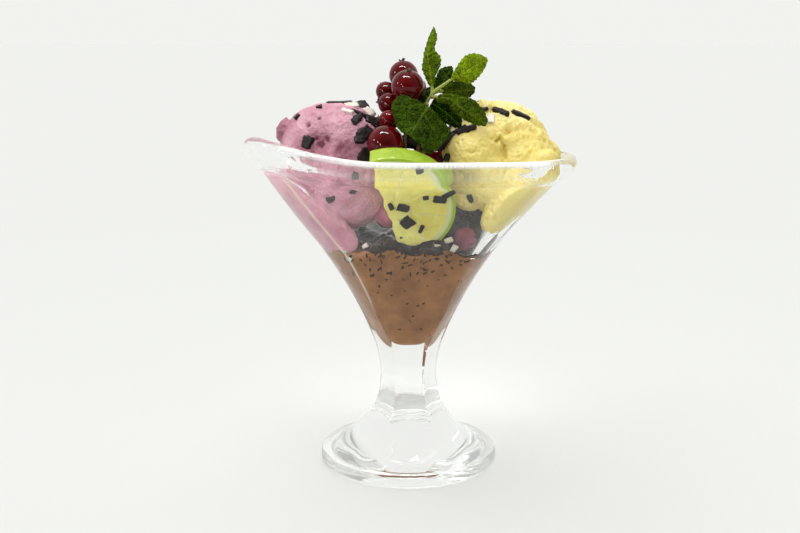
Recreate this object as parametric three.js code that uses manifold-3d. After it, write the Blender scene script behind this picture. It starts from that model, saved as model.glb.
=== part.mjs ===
// Ice cream sundae in a footed, three-cornered pressed-glass coupe.
// Millimetres, +Z up. The origin is the middle of the foot's flat underside,
// -Y is the side with the slice of lime, +X is to the right as one looks at that side.
// A bearing is an angle round +Z, 0 towards -Y and growing towards +X.

import * as THREE from 'three';
import { mergeVertices } from 'three/addons/utils/BufferGeometryUtils.js';
import Module from 'manifold-3d';

const { degToRad, clamp, lerp, smoothstep } = THREE.MathUtils;

// Glass: the foot
const FOOT_RADIUS = 34.6;
const FOOT_REST = 33.4; // radius of the flat underside
const FOOT_EDGE_HEIGHT = 4.4;
const FLARE_LEVELS = [[27, 6.9], [22.6, 10.6], [18.5, 14.4], [15.3, 18.4], [12.8, 22.9], [11.4, 28]];

// Glass: stem, bowl and lip. Reach is the half width as seen from any of the three sides.
const STEM_RADIUS = 11;
const STEM_WAIST = 35.6;
const BOWL_TOP = 113.2; // underside of the collar
const BOWL_REACH = 54.2;
const BOWL_FLARE = 1.56; // power of the trumpet curve of the bowl's side
const BOWL_LEVELS = [42, 49, 57, 65, 73, 81, 89, 97, 105, 110];
const COLLAR = [[56.9, 113.7], [58.6, 115], [59.5, 117.8], [59.6, 120], [58.6, 121.5], [57.2, 121.9]];
const LIP_INNER = [[55.9, 121.4], [55.1, 119.6]];
const CAVITY_BOTTOM = 47.2;
const CAVITY_JOIN = 62; // the round bottom of the cavity runs into the straight wall here
const CAVITY_JOIN_REACH = 13.8;
const CAVITY_ROUND = 0.33; // power of the curve of the round bottom
const WALL_TOP = 5.2;
const CAVITY_LEVELS = [47.7, 49.5, 54, 62, 72, 82, 92, 102, 112];

// Glass: plan of the bowl, a triangle with soft corners and flat sides between sharp ridges
const PLAN_TURN = 3;
const CORNER_PULL = 0.82; // how far the corners' arcs move out as the bowl widens
const CORNER_LIFTS = [0, 0, 7.6]; // right, back and left corner of the lip
const LEFT_CORNER = PLAN_TURN - 60;
const LIFT_SPREAD = 17;
const LIFT_START = 88;
const STEM_RIDGE = 30;
const RIM_RIDGE = 51;
const BOWL_FACET = 0.45;
const GLASS_COLUMNS = 48;
const ROOM_COLUMNS = 24;

const GAP = 0.3; // clearance between pieces that touch
const LAYER_SIDE = 140; // square blanks that the layers are cut from, and their cells
const LAYER_CELLS = 20;
const LAYER_FLOOR = 40;
const ROOM_TOP = 190;
const ROOM_REACH = 70; // above the lip
const SLIVER = 0.03;
const WELD = 1e-3;

// Contents
const BASE_LEVEL = 87.2;
const BASE_TILT = 0.03;
const SAUCE_DEPTH = 3;
const SAUCE_HEAP = 2.4; // in the middle
const MOUND_HEIGHT = 12.5; // beside the lime, under the yellow scoop
const SAUCE_REACH = 24; // the sauce stops short of the left corner
const BERRY_SCOOP = { centre: [-25.2, -8, 115.8], radii: [21.8, 22.5, 23.4] };
const YELLOW_SCOOP = { centre: [33.4, -9, 119.6], radii: [20.8, 21.5, 21] };
const SCOOP_DETAIL = 6;
const LOBE_DETAIL = 3;
const LIME_RADIUS = 21.8;
const LIME_THICKNESS = 6.4;
const LIME_CENTRE = [-5.2, -30.9, 104.3];
const LIME_TILT = 30;
const LIME_CUT = { offset: -2.6, angle: 15 }; // the straight cut, off the middle and leaning
const CURRANTS = [
  { centre: [-8, -28.5, 126.6], radius: 6.6, eye: [0.3, -0.3, -1] },
  { centre: [-7, -18.6, 134.1], radius: 3.7, eye: [-1, -0.2, 0.2] },
  { centre: [-7.1, -10, 139.4], radius: 4, eye: [-1, 0.3, 0.3] },
  { centre: [-0.3, -13.4, 145.8], radius: 6, eye: [0.1, -0.25, 1] },
  { centre: [-8.4, -2.8, 143.4], radius: 3.7, eye: [-0.5, 0.8, 0.5] },
  { centre: [-1.8, -0.6, 149.2], radius: 5.4, eye: [-0.1, 0.1, 1] },
  { centre: [10.2, -15, 120.2], radius: 4.4, eye: [-0.3, -0.6, -0.75] },
  { centre: [-7.8, -15.9, 99.6], radius: 4.9, eye: [-0.5, -0.4, -0.7] },
  { centre: [20.8, -15.6, 90.6], radius: 4.3, eye: [0.75, -0.35, -0.55] },
  { centre: [2.4, 8.2, 143.7], radius: 4.5, eye: [0.6, 0.6, 0.4] },
];
const TUFT = { tip: 0.9, foot: 0.45, length: 1.8, out: 0.35 }; // dry flower end of a currant
const CURRANT_STALK_RADIUS = 0.6;
const MINT_STEM_RADIUS = 0.7;
const STALK_STEPS = 8;
const LEAF_THICKNESS = 0.8;

const berryColour = 0xd79bb0;
const yellowColour = 0xf6e79a;
const baseColour = 0x8c6549;
const darkChocolate = 0x231b1a;
const limeColour = 0xcfd06a;
const currantColour = 0x7a0410;
const leafColour = 0x3c6318;
const stemColour = 0x7d7f2c;
const stalkColour = 0x6d4a22;

const group = new THREE.Group();
const wasm = await Module();
wasm.setup();

// Solids: a closed mesh without seams, and the way to manifold-3d and back

function closed(geometry) {
  if (geometry.hasAttribute('normal')) geometry.deleteAttribute('normal');
  if (geometry.hasAttribute('uv')) geometry.deleteAttribute('uv');
  const merged = mergeVertices(geometry, WELD);
  const corners = merged.index.array;
  const kept = [];
  for (let i = 0; i < corners.length; i += 3) {
    const [a, b, c] = [corners[i], corners[i + 1], corners[i + 2]];
    if (a !== b && b !== c && c !== a) kept.push(a, b, c);
  }
  merged.setIndex(kept);
  return merged;
}

function toSolid(geometry) {
  const mesh = closed(geometry);
  return new wasm.Manifold(new wasm.Mesh({
    numProp: 3,
    vertProperties: Float32Array.from(mesh.attributes.position.array),
    triVerts: Uint32Array.from(mesh.index.array),
  }));
}

function toGeometry(solid) {
  const { vertProperties, triVerts } = solid.getMesh();
  const geometry = new THREE.BufferGeometry();
  geometry.setAttribute('position', new THREE.BufferAttribute(new Float32Array(vertProperties), 3));
  geometry.setIndex(new THREE.BufferAttribute(new Uint32Array(triVerts), 1));
  return geometry;
}

function addPiece(name, geometry, color, roughness = 0.5, extra = {}) {
  geometry.computeVertexNormals();
  const material = new THREE.MeshStandardMaterial({ color, roughness, metalness: 0, ...extra });
  const mesh = new THREE.Mesh(geometry, material);
  mesh.name = name;
  group.add(mesh);
}

// Glass

function outerReach(z) {
  const rise = Math.max(z - STEM_WAIST, 0) / (BOWL_TOP - STEM_WAIST);
  return STEM_RADIUS + (BOWL_REACH - STEM_RADIUS) * rise ** BOWL_FLARE;
}

function cavityReach(z) {
  if (z < CAVITY_JOIN) {
    return CAVITY_JOIN_REACH * ((z - CAVITY_BOTTOM) / (CAVITY_JOIN - CAVITY_BOTTOM)) ** CAVITY_ROUND;
  }
  const wallAtJoin = outerReach(CAVITY_JOIN) - CAVITY_JOIN_REACH;
  const rise = (z - CAVITY_JOIN) / (BOWL_TOP - CAVITY_JOIN);
  return outerReach(z) - lerp(wallAtJoin, WALL_TOP, rise);
}

function pullFor(reach) {
  return CORNER_PULL * Math.max(reach - STEM_RADIUS, 0);
}

function liftShare(z) {
  return clamp((z - LIFT_START) / (COLLAR[3][1] - LIFT_START), 0, 1) ** 2;
}

function cornerLift(bearing) {
  let lift = 0;
  CORNER_LIFTS.forEach((height, k) => {
    const corner = degToRad(PLAN_TURN + 60 + 120 * k);
    const away = Math.atan2(Math.sin(bearing - corner), Math.cos(bearing - corner));
    lift += height * Math.exp(-0.5 * (away / degToRad(LIFT_SPREAD)) ** 2);
  });
  return lift;
}

// Radius of the soft triangle at an angle from its nearest corner
function softRadius(fromCorner, reach, pull) {
  const round = reach - pull * Math.cos(Math.PI / 6);
  const side = round + pull / 2;
  const arcEnd = Math.atan2(round * Math.sin(Math.PI / 3), pull + round * Math.cos(Math.PI / 3));
  if (fromCorner > arcEnd) return side / Math.cos(Math.PI / 3 - fromCorner);
  return pull * Math.cos(fromCorner) + Math.sqrt(round ** 2 - (pull * Math.sin(fromCorner)) ** 2);
}

// The same with its sides pressed flat by a share between two ridges
function facetRadius(fromCorner, { reach, pull, facet, ridge }) {
  const soft = softRadius(fromCorner, reach, pull);
  const narrow = Math.PI / 3 - ridge;
  const atRidge = softRadius(narrow, reach, pull);
  const flat = fromCorner < narrow
    ? atRidge * Math.cos(narrow) / Math.cos(fromCorner)
    : atRidge * Math.cos(ridge) / Math.cos(Math.PI / 3 - fromCorner);
  return lerp(soft, flat, facet);
}

// A lathe turning whose columns of points are moved onto the plan of the glass
function pressed(rows, columns) {
  const outline = rows.map(({ reach, z }) => new THREE.Vector2(reach, z));
  const geometry = new THREE.LatheGeometry(outline, columns);
  const position = geometry.attributes.position;
  for (let i = 0; i <= columns; i += 1) {
    const turned = (i % columns) * 360 / columns;
    const fromFace = Math.abs(((turned + 60) % 120) - 60);
    const side = Math.sign(((turned + 60) % 120) - 60);
    const face = turned - side * fromFace;
    rows.forEach((row, j) => {
      const ridge = row.ridge ?? STEM_RIDGE;
      const spread = fromFace <= 30
        ? fromFace * ridge / 30
        : ridge + (fromFace - 30) * (60 - ridge) / 30;
      const bearing = degToRad(face + side * spread + PLAN_TURN);
      const radius = facetRadius(degToRad(60 - spread), {
        reach: row.reach,
        pull: row.pull ?? 0,
        facet: row.facet ?? 0,
        ridge: degToRad(ridge),
      });
      const z = row.z + cornerLift(bearing) * (row.lift ?? 0);
      position.setXYZ(i * rows.length + j, radius * Math.sin(bearing), -radius * Math.cos(bearing), z);
    });
  }
  return geometry;
}

function bowlRow(reach, z, facet) {
  const ridge = lerp(STEM_RIDGE, RIM_RIDGE, smoothstep(z, STEM_WAIST, 85));
  return { reach, z, pull: pullFor(reach), facet, ridge, lift: liftShare(z) };
}

function cavityRows(levels, gap = 0) {
  return levels.map((z) => ({ ...bowlRow(cavityReach(z) - gap, z, 0), pull: pullFor(outerReach(z)) }));
}

function glassRows() {
  const foot = [
    { reach: 0, z: 0 },
    { reach: FOOT_REST, z: 0 },
    { reach: FOOT_RADIUS, z: 1.6 },
    { reach: FOOT_RADIUS - 1, z: FOOT_EDGE_HEIGHT - 0.5 },
    { reach: FOOT_RADIUS - 3.2, z: FOOT_EDGE_HEIGHT },
  ];
  const flare = FLARE_LEVELS.map(([reach, z]) => (
    { reach, z, facet: 1 - smoothstep(reach, 11.6, 24) }));
  const stem = { reach: STEM_RADIUS, z: STEM_WAIST, facet: 1 };
  const bowl = [...BOWL_LEVELS, BOWL_TOP].map((z) => (
    bowlRow(outerReach(z), z, lerp(1, BOWL_FACET, smoothstep(z, 46, 76)))));
  const rim = [...COLLAR, ...LIP_INNER].map(([reach, z]) => bowlRow(reach, z, 0));
  const cavity = cavityRows([...CAVITY_LEVELS].reverse());
  return [...foot, ...flare, stem, ...bowl, ...rim, ...cavity, { reach: 0, z: CAVITY_BOTTOM }];
}

function makeGlass() {
  addPiece('glass', closed(pressed(glassRows(), GLASS_COLUMNS)), 0xffffff, 0.03,
    { transparent: true, opacity: 0.35 });
}

// The room that food may take: the cavity less a gap, and all above the lip
function makeRoom() {
  const inside = 1.5 * GAP;
  const rows = [
    { reach: 0, z: CAVITY_BOTTOM + GAP },
    ...cavityRows(CAVITY_LEVELS, inside),
    bowlRow(LIP_INNER[1][0] - inside, LIP_INNER[1][1], 0),
    bowlRow(LIP_INNER[0][0] - GAP, LIP_INNER[0][1] + inside, 0),
    bowlRow(COLLAR[5][0], COLLAR[5][1] + inside, 0),
    bowlRow(ROOM_REACH, COLLAR[5][1] + 4 * GAP, 0),
    { reach: ROOM_REACH, z: ROOM_TOP },
    { reach: 0, z: ROOM_TOP },
  ];
  return toSolid(pressed(rows, ROOM_COLUMNS));
}

// Base of chocolate ice cream and the dark sauce on it

function baseTop(x, y) {
  return BASE_LEVEL + 0.9 * Math.sin(x / 3.1 + 0.6) * Math.cos(y / 6.3)
    + 0.5 * Math.sin(x / 1.7 + y / 2.9) - BASE_TILT * x;
}

function sauceTop(x, y) {
  const heap = SAUCE_HEAP * Math.exp(-((x - 2) ** 2 + (y + 6) ** 2) / 160);
  const mound = MOUND_HEIGHT * Math.exp(-((x - 20) ** 2 + (y + 13) ** 2) / 130);
  const ripple = 0.5 * Math.sin(x / 3.7 + 1) * Math.cos(y / 4.4 + 0.5);
  return baseTop(x, y) + SAUCE_DEPTH + heap + mound + ripple;
}

// A closed sheet whose two faces are split into triangles alike; place gives the point for
// the shares u and v, 0 to 1, on the face of the side 1 or -1
function sheet(stepsU, stepsV, place) {
  const plane = new THREE.PlaneGeometry(1, 1, stepsU, stepsV);
  const grid = plane.attributes.position;
  const points = [];
  [1, -1].forEach((side) => {
    for (let i = 0; i < grid.count; i += 1) {
      points.push(...place(grid.getX(i) + 0.5, grid.getY(i) + 0.5, side).toArray());
    }
  });
  const faces = [...plane.index.array];
  const faceCount = faces.length;
  for (let i = 0; i < faceCount; i += 3) {
    faces.push(faces[i + 2] + grid.count, faces[i + 1] + grid.count, faces[i] + grid.count);
  }
  const border = [];
  for (let i = 0; i < stepsU; i += 1) border.push(i);
  for (let i = 0; i < stepsV; i += 1) border.push(stepsU + i * (stepsU + 1));
  for (let i = stepsU; i > 0; i -= 1) border.push(stepsV * (stepsU + 1) + i);
  for (let i = stepsV; i > 0; i -= 1) border.push(i * (stepsU + 1));
  border.forEach((a, k) => {
    const b = border[(k + 1) % border.length];
    faces.push(a, b, a + grid.count, b, b + grid.count, a + grid.count);
  });
  const geometry = new THREE.BufferGeometry();
  geometry.setAttribute('position', new THREE.Float32BufferAttribute(points, 3));
  geometry.setIndex(faces);
  return geometry;
}

// A layer between two height functions, wider than the glass, to be cut by the room
function layer(bottomAt, topAt) {
  return toSolid(sheet(LAYER_CELLS, LAYER_CELLS, (u, v, side) => {
    const x = (u - 0.5) * LAYER_SIDE;
    const y = (v - 0.5) * LAYER_SIDE;
    return new THREE.Vector3(x, y, side > 0 ? topAt(x, y) : bottomAt(x, y));
  }));
}

// Scoops: balls whose surface is moved in and out along the direction from the middle

function direction(bearing, rise) {
  const [b, r] = [degToRad(bearing), degToRad(rise)];
  return new THREE.Vector3(Math.sin(b) * Math.cos(r), -Math.cos(b) * Math.cos(r), Math.sin(r));
}

const berryForms = [
  { at: direction(-88, 42), spread: 0.5, height: 3 }, // shoulder on the left
  { at: direction(-28, 20), spread: 0.3, height: -2.4 }, // dark hollow low in front
  { at: direction(10, 22), spread: 0.25, height: -1.4 },
  { at: direction(-30, 60), spread: 0.35, height: 0.7 },
];
const yellowForms = [
  { at: direction(-45, 12), spread: 0.4, height: 0.9 }, // two low domes in front
  { at: direction(22, 12), spread: 0.35, height: 1.3 },
  { at: direction(-10, 14), spread: 0.14, height: -1.1 }, // crease between them
  { at: direction(8, 36), spread: 0.16, height: -1.2 }, // groove under the ledge
  { at: direction(44, 32), spread: 0.14, height: -1.4 },
  { at: direction(74, 22), spread: 0.2, height: 1.5 }, // torn lip at the right
  { at: direction(-42, 64), spread: 0.2, height: 1.5 }, // horn at the top left
  { at: direction(-20, 60), spread: 0.13, height: -0.9 },
  { at: direction(45, 62), spread: 0.35, height: -2.2 },
  { at: direction(75, 45), spread: 0.3, height: -1.4 },
];

function crags(at, size, sharpness) {
  const wave = Math.sin(at.x * 7 + 2 * Math.sin(at.z * 5)) * Math.cos(at.y * 6 + at.z * 4);
  const fine = Math.sin(at.x * 15 + at.y * 4) * Math.sin(at.z * 17 + at.y * 9);
  return size * (lerp(wave, 1 - 2 * Math.abs(wave), sharpness) + 0.6 * fine);
}

function scoopRadius(at, scoop, forms, roughness, sharpness) {
  const moved = forms.reduce((sum, { at: middle, spread, height }) => (
    sum + height * Math.exp(-((at.angleTo(middle) / spread) ** 2))), 0);
  const plain = 1 / at.clone().divide(new THREE.Vector3(...scoop.radii)).length();
  return plain + moved + crags(at, roughness, sharpness);
}

const berryRadius = (at) => scoopRadius(at, BERRY_SCOOP, berryForms, 0.3, 0);
const yellowRadius = (at) => scoopRadius(at, YELLOW_SCOOP, yellowForms, 0.55, 0.7);

function ball(centre, radiusAt, detail) {
  const geometry = new THREE.IcosahedronGeometry(1, detail);
  const position = geometry.attributes.position;
  const at = new THREE.Vector3();
  for (let i = 0; i < position.count; i += 1) {
    at.fromBufferAttribute(position, i).normalize();
    at.multiplyScalar(radiusAt(at)).add(centre);
    position.setXYZ(i, at.x, at.y, at.z);
  }
  return toSolid(geometry);
}

// A rounded lobe from one point to another, such as ice cream smeared down the wall
function lobe(from, to, width, depth, detail) {
  const [start, end] = [new THREE.Vector3(...from), new THREE.Vector3(...to)];
  const middle = start.clone().lerp(end, 0.5);
  const along = end.clone().sub(start).normalize();
  const outward = new THREE.Vector3(middle.x, middle.y, 0).normalize();
  const across = new THREE.Vector3().crossVectors(along, outward).normalize();
  const through = new THREE.Vector3().crossVectors(along, across);
  const frame = new THREE.Matrix4().makeBasis(along, across, through).setPosition(middle);
  const geometry = new THREE.IcosahedronGeometry(1, detail);
  geometry.scale(start.distanceTo(end) / 2, width / 2, depth / 2);
  geometry.applyMatrix4(frame);
  return toSolid(geometry);
}

// The lobes of the berry ice cream: packed into the left corner, smeared down the front
// wall as a tongue, and a drip at the left edge
function berryLobes(grow) {
  const more = 2 * grow;
  return [
    lobe([-53, -30, 119], [-25, -14, 88], 24 + more, 18 + more, LOBE_DETAIL),
    lobe([-46, -30, 112], [-19, -21.5, 89], 13 + more, 10 + more, LOBE_DETAIL),
    lobe([-44.4, -9, 134.6], [-48.2, -10, 125.6], 4.4 + more, 4 + more, 1),
  ];
}

// Small toppings fused to a scoop: shards, flakes and strands, given by bearing and rise

function topping(scoop, radiusAt, { bearing, rise, turn, size, kind, stand = 0 }) {
  const [length, width, thick] = size;
  const geometry = kind === 'strand'
    ? new THREE.CylinderGeometry(width / 2, width / 2, length, 6).rotateZ(Math.PI / 2)
    : new THREE.BoxGeometry(length, width, thick);
  const normal = direction(bearing, rise);
  const place = new THREE.Object3D();
  place.position.set(...scoop.centre).addScaledVector(normal, radiusAt(normal) + thick * 0.2);
  place.quaternion.setFromUnitVectors(new THREE.Vector3(0, 0, 1), normal);
  place.rotateX(degToRad(stand));
  place.rotateZ(degToRad(turn));
  place.updateMatrix();
  geometry.applyMatrix4(place.matrix);
  return toSolid(geometry);
}

const berryToppings = [
  { bearing: 170, rise: 86, turn: 6, size: [9.4, 3, 1] },
  { bearing: 96, rise: 66, turn: 45, size: [4.6, 4.4, 1.6], stand: 50 },
  { bearing: 28, rise: 52, turn: 65, size: [3.8, 1.9, 1.4] },
  { bearing: 42, rise: 61, turn: -10, size: [5, 1.1, 1] },
  { bearing: 56, rise: 48, turn: 12, size: [5, 3.4, 1.6] },
  { bearing: 30, rise: 37, turn: 66, size: [5.8, 3.5, 1.7] },
  { bearing: -34, rise: 29, turn: 45, size: [4, 3.2, 1.7] },
  { bearing: -78, rise: 53, turn: 20, size: [2.1, 1.8, 1.1] },
  { bearing: -80, rise: 71, turn: 0, size: [1.9, 1.7, 1] },
  { bearing: 27, rise: 18, turn: 80, size: [4.6, 3, 1.6] },
  { bearing: 66, rise: 77, turn: 25, size: [4.4, 2.4, 0.9] }, // white flakes: this and the next two
  { bearing: 88, rise: 62, turn: -20, size: [3.6, 3.4, 0.9], stand: 25 },
  { bearing: 18, rise: 62, turn: -15, size: [3.6, 1.7, 0.9] },
  { bearing: 15, rise: -12, turn: 80, size: [3, 2, 1.2] },
  { bearing: -6, rise: -21, turn: 20, size: [3.2, 2, 1.2] },
];
const yellowToppings = [
  { kind: 'strand', bearing: -78, rise: 66, turn: 30, size: [4.2, 1.6, 1.6] },
  { kind: 'strand', bearing: -35, rise: 57, turn: 5, size: [4, 1.5, 1.5] },
  { kind: 'strand', bearing: -3, rise: 59, turn: -38, size: [6.6, 1.7, 1.7] },
  { kind: 'strand', bearing: 38, rise: 57, turn: 20, size: [7.2, 1.8, 1.8] },
  { kind: 'strand', bearing: -52, rise: 32, turn: 28, size: [7, 1.7, 1.7] },
  { kind: 'strand', bearing: -62, rise: 20, turn: 55, size: [5, 1.8, 1.8] },
  { bearing: -64, rise: 2, turn: 70, size: [3, 2, 1.4] },
  { bearing: -15, rise: 46, turn: 70, size: [4.2, 3, 1.1] }, // white flake
  { kind: 'strand', bearing: -41, rise: -37, turn: 45, size: [3.6, 1.9, 1.9] },
];

// Slice of lime: a disc with a straight cut, its face towards the front wall

function limeFrame() {
  const place = new THREE.Object3D();
  place.position.set(...LIME_CENTRE);
  place.rotation.set(Math.PI / 2 + degToRad(LIME_TILT), 0, 0);
  place.updateMatrix();
  return place.matrix;
}

function limeOutline(grow) {
  const outline = new THREE.Shape();
  const radius = LIME_RADIUS + grow;
  const middle = degToRad(LIME_CUT.angle);
  const half = Math.acos((LIME_CUT.offset - grow) / radius);
  outline.absarc(0, 0, radius, middle - half, middle + half, false);
  return outline;
}

function limeSlab(grow) {
  const geometry = new THREE.ExtrudeGeometry(limeOutline(grow), {
    depth: LIME_THICKNESS + 2 * grow, bevelEnabled: false, curveSegments: 36,
  });
  geometry.translate(0, 0, -LIME_THICKNESS - grow);
  geometry.applyMatrix4(limeFrame());
  return toSolid(geometry);
}

// Bits of chocolate held between the lime and the glass: place on the face, turn and size
const limeBits = [
  [8.8, 17.4, 20, 2.8, 2.4],
  [11.2, 5.5, 10, 2, 1.6],
  [-1, 1.8, -65, 2.9, 1.7],
  [3.3, 1.2, -15, 4.2, 3],
  [4.7, -5.5, 42, 4.8, 4.4],
  [9.7, -8.5, 70, 3.4, 1.4],
  [16.2, 4.6, -10, 4.6, 2.8],
  [19.2, 7, 34, 5, 2],
];

function limeBit([u, v, turn, length, width]) {
  const geometry = new THREE.BoxGeometry(length, width, 1);
  geometry.rotateZ(degToRad(turn));
  geometry.translate(u, v, 0.2);
  geometry.applyMatrix4(limeFrame());
  return toSolid(geometry);
}

// Red currants: balls with the dry tuft of the flower at one end

function currantBall({ centre, radius }, grow = 0) {
  const geometry = new THREE.SphereGeometry(radius + grow, 12, 7);
  geometry.rotateX(Math.PI / 2);
  geometry.translate(...centre);
  return toSolid(geometry);
}

function currantTuft({ centre, radius, eye }, grow = 0) {
  const geometry = new THREE.CylinderGeometry(
    TUFT.tip + grow, TUFT.foot + grow, TUFT.length + 2 * grow, 6);
  geometry.translate(0, radius + TUFT.out, 0);
  const turn = new THREE.Quaternion().setFromUnitVectors(
    new THREE.Vector3(0, 1, 0), new THREE.Vector3(...eye).normalize());
  geometry.applyQuaternion(turn);
  geometry.translate(...centre);
  return toSolid(geometry);
}

// Stalks and stems: a round section swept along a curve

function stalk(points, radius, grow = 0) {
  const section = new THREE.Shape();
  section.absarc(0, 0, radius + grow, 0, 2 * Math.PI, false);
  const path = new THREE.CatmullRomCurve3(points.map((point) => new THREE.Vector3(...point)));
  return toSolid(new THREE.ExtrudeGeometry(section, {
    steps: STALK_STEPS, extrudePath: path, bevelEnabled: false, curveSegments: 3,
  }));
}

const mintStemPaths = [
  [[3.2, -15, 119], [4.4, -16.6, 131], [6.2, -18.2, 139.5], [8.4, -18.2, 143.3]],
  [[7.9, -18.3, 142.4], [9.6, -18.3, 144.6], [11.8, -18, 146.1], [14.6, -17.4, 148]],
];
const currantStalkPath = [
  [-0.6, -14.4, 118], [-1.2, -13, 130], [1.2, -6, 139.4], [-2.6, -5.6, 143.4],
];

// Mint leaves: a thin sheet with a toothed, wavy edge along a bent midrib. Left and right are
// the widths of both halves at even steps from the stem to the tip, across points to the right
// half, cup is the rise of both halves, and leans is how far each is drawn towards the tip.

const LEAVES = [
  {
    name: 'upright',
    midrib: [[8.5, -17.6, 145.3], [7.8, -17.8, 151.1], [6.9, -15.6, 158], [9.1, -12, 166.7]],
    left: [0.4, 1.8, 2.6, 2.9, 1.9, 1.4, 1, 0.15],
    right: [0.4, 0.9, 1.9, 4, 4.2, 2.2, 1.9, 0.15],
    across: [1, -0.3, 0], cup: -0.3, wave: 0.3, leans: [0.1, 0.1],
  },
  {
    name: 'upper_right',
    midrib: [[15.2, -17.2, 148.5], [18.6, -18.2, 150.4], [22.6, -16.8, 152.8], [28.1, -13, 155.5]],
    left: [0.4, 1.6, 2.6, 3.4, 4.1, 4.4, 3.5, 0.8],
    right: [0.4, 1.9, 3.3, 4.8, 5, 4.6, 3.4, 1.2],
    across: [0.45, 0.1, -0.9], cup: -0.3, wave: 0.3, leans: [0, 0],
  },
  {
    name: 'back',
    midrib: [[10, -14.6, 144.4], [12.1, -12, 147.3], [14, -9, 149.7], [15.9, -6, 152.3]],
    left: [0.4, 1.6, 2.6, 3.2, 3.4, 2.9, 1.9, 0.6],
    right: [0.4, 1.8, 2.8, 3.3, 3.3, 2.8, 1.9, 0.8],
    across: [0.7, 0.3, -0.6], cup: -0.2, wave: 0.4, leans: [0.1, 0.1],
  },
  {
    name: 'middle',
    midrib: [[12, -15.6, 144.2], [15.6, -15, 144.1], [19.7, -12, 144.3], [24.1, -7.5, 144.2]],
    left: [0.4, 1.6, 2.6, 3.4, 3.7, 3.5, 2.7, 1],
    right: [0.4, 1.1, 1.8, 2.4, 2.8, 3, 2.6, 1.2],
    across: [0.1, 0.1, -1], cup: -0.2, wave: 0.4, leans: [0.2, 0.2],
  },
  {
    name: 'lower_right',
    midrib: [[9.8, -19.8, 142], [14.6, -22.5, 142.4], [19, -27.5, 139.1], [27.1, -30.5, 134]],
    left: [0.4, 0.5, 0.8, 1.6, 3.4, 4.2, 3, 0.9],
    right: [0.4, 1.8, 2.9, 3.3, 3.4, 3.6, 3, 1.1],
    across: [-0.5, 0.3, -0.8], cup: -0.3, wave: 0.3, leans: [0.1, 0.1],
  },
  {
    name: 'lower',
    midrib: [[8.3, -16.2, 140.2], [11.3, -18, 138.4], [14.8, -20.5, 135.9], [18.6, -22.5, 132]],
    left: [0.4, 2, 3.2, 3.8, 3.8, 3.1, 2, 0.3],
    right: [0.4, 2, 3.2, 3.8, 3.8, 3.1, 2, 0.3],
    across: [-0.5, 0.1, -0.8], cup: -0.2, wave: 0.3, leans: [0.1, 0.1],
  },
  {
    name: 'left',
    midrib: [[7.4, -14.6, 142.2], [7, -11, 142.6], [6.4, -8, 142.1], [5.7, -4.6, 141.1]],
    left: [0.3, 1.5, 2.4, 2.9, 2.9, 2.4, 1.5, 0.3],
    right: [0.3, 1.5, 2.4, 2.9, 2.9, 2.4, 1.5, 0.3],
    across: [0.8, 0, 0.5], cup: -0.2, wave: 0.3, leans: [0.1, 0.1],
  },
  {
    name: 'front',
    midrib: [[6.7, -23.4, 139.5], [4.7, -28.2, 136.5], [2.6, -31.8, 133.4], [0.5, -34.4, 130.1]],
    left: [11.6, 11.6, 11.5, 11.3, 10.8, 10.1, 9.2, 7.9],
    right: [10.4, 11.1, 11.3, 10.9, 10.1, 8.4, 6, 3.2],
    across: [-0.86, 0.1, 0.5], cup: -0.16, wave: 0.5, leans: [0.28, 0],
  },
];
const LEAF_STEPS = 10;
const LEAF_CELLS = 4;
const LEAF_TEETH = 4.5;
const LEAF_TOOTH = 0.3;

function smoothCurve(points) {
  return new THREE.CatmullRomCurve3(points.map((p) => new THREE.Vector3(...p)), false, 'catmullrom');
}

function leafPoint(leaf, midrib, widths, along, acrossShare) {
  const point = midrib.getPoint(along);
  const tangent = midrib.getTangent(along);
  const normal = new THREE.Vector3(...leaf.across).cross(tangent).normalize();
  const right = new THREE.Vector3().crossVectors(tangent, normal);
  const near = Math.abs(acrossShare);
  const width = widths.getPoint(along);
  const half = acrossShare > 0 ? width.y : width.x;
  const lean = acrossShare > 0 ? leaf.leans[1] : leaf.leans[0];
  const tooth = LEAF_TOOTH * Math.abs(Math.sin(Math.PI * LEAF_TEETH * along)) * near ** 3;
  const outward = near * half + tooth;
  const ripple = leaf.wave * Math.sin(9 * along + 2.5 * acrossShare) * near ** 2;
  const lift = leaf.cup * half * near ** 1.5 + ripple;
  point.addScaledVector(right, outward * Math.sign(acrossShare));
  point.addScaledVector(tangent, outward * lean);
  return { point: point.addScaledVector(normal, lift), normal };
}

function leafGeometry(leaf) {
  const midrib = smoothCurve(leaf.midrib);
  const widths = smoothCurve(leaf.left.map((left, i) => [left, leaf.right[i], 0]));
  return sheet(LEAF_STEPS, LEAF_CELLS, (u, v, side) => {
    const { point, normal } = leafPoint(leaf, midrib, widths, u, 1 - 2 * v);
    return point.addScaledVector(normal, side * LEAF_THICKNESS / 2);
  });
}

// Putting the sundae together

function unite(solids) {
  return solids.reduce((sum, solid) => sum.add(solid));
}

// The largest body of a cut solid, without loose scraps and slivers
function largest(solid) {
  return toSolid(toGeometry(solid.simplify(SLIVER))).decompose()
    .reduce((best, body) => (body.volume() > best.volume() ? body : best));
}

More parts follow.
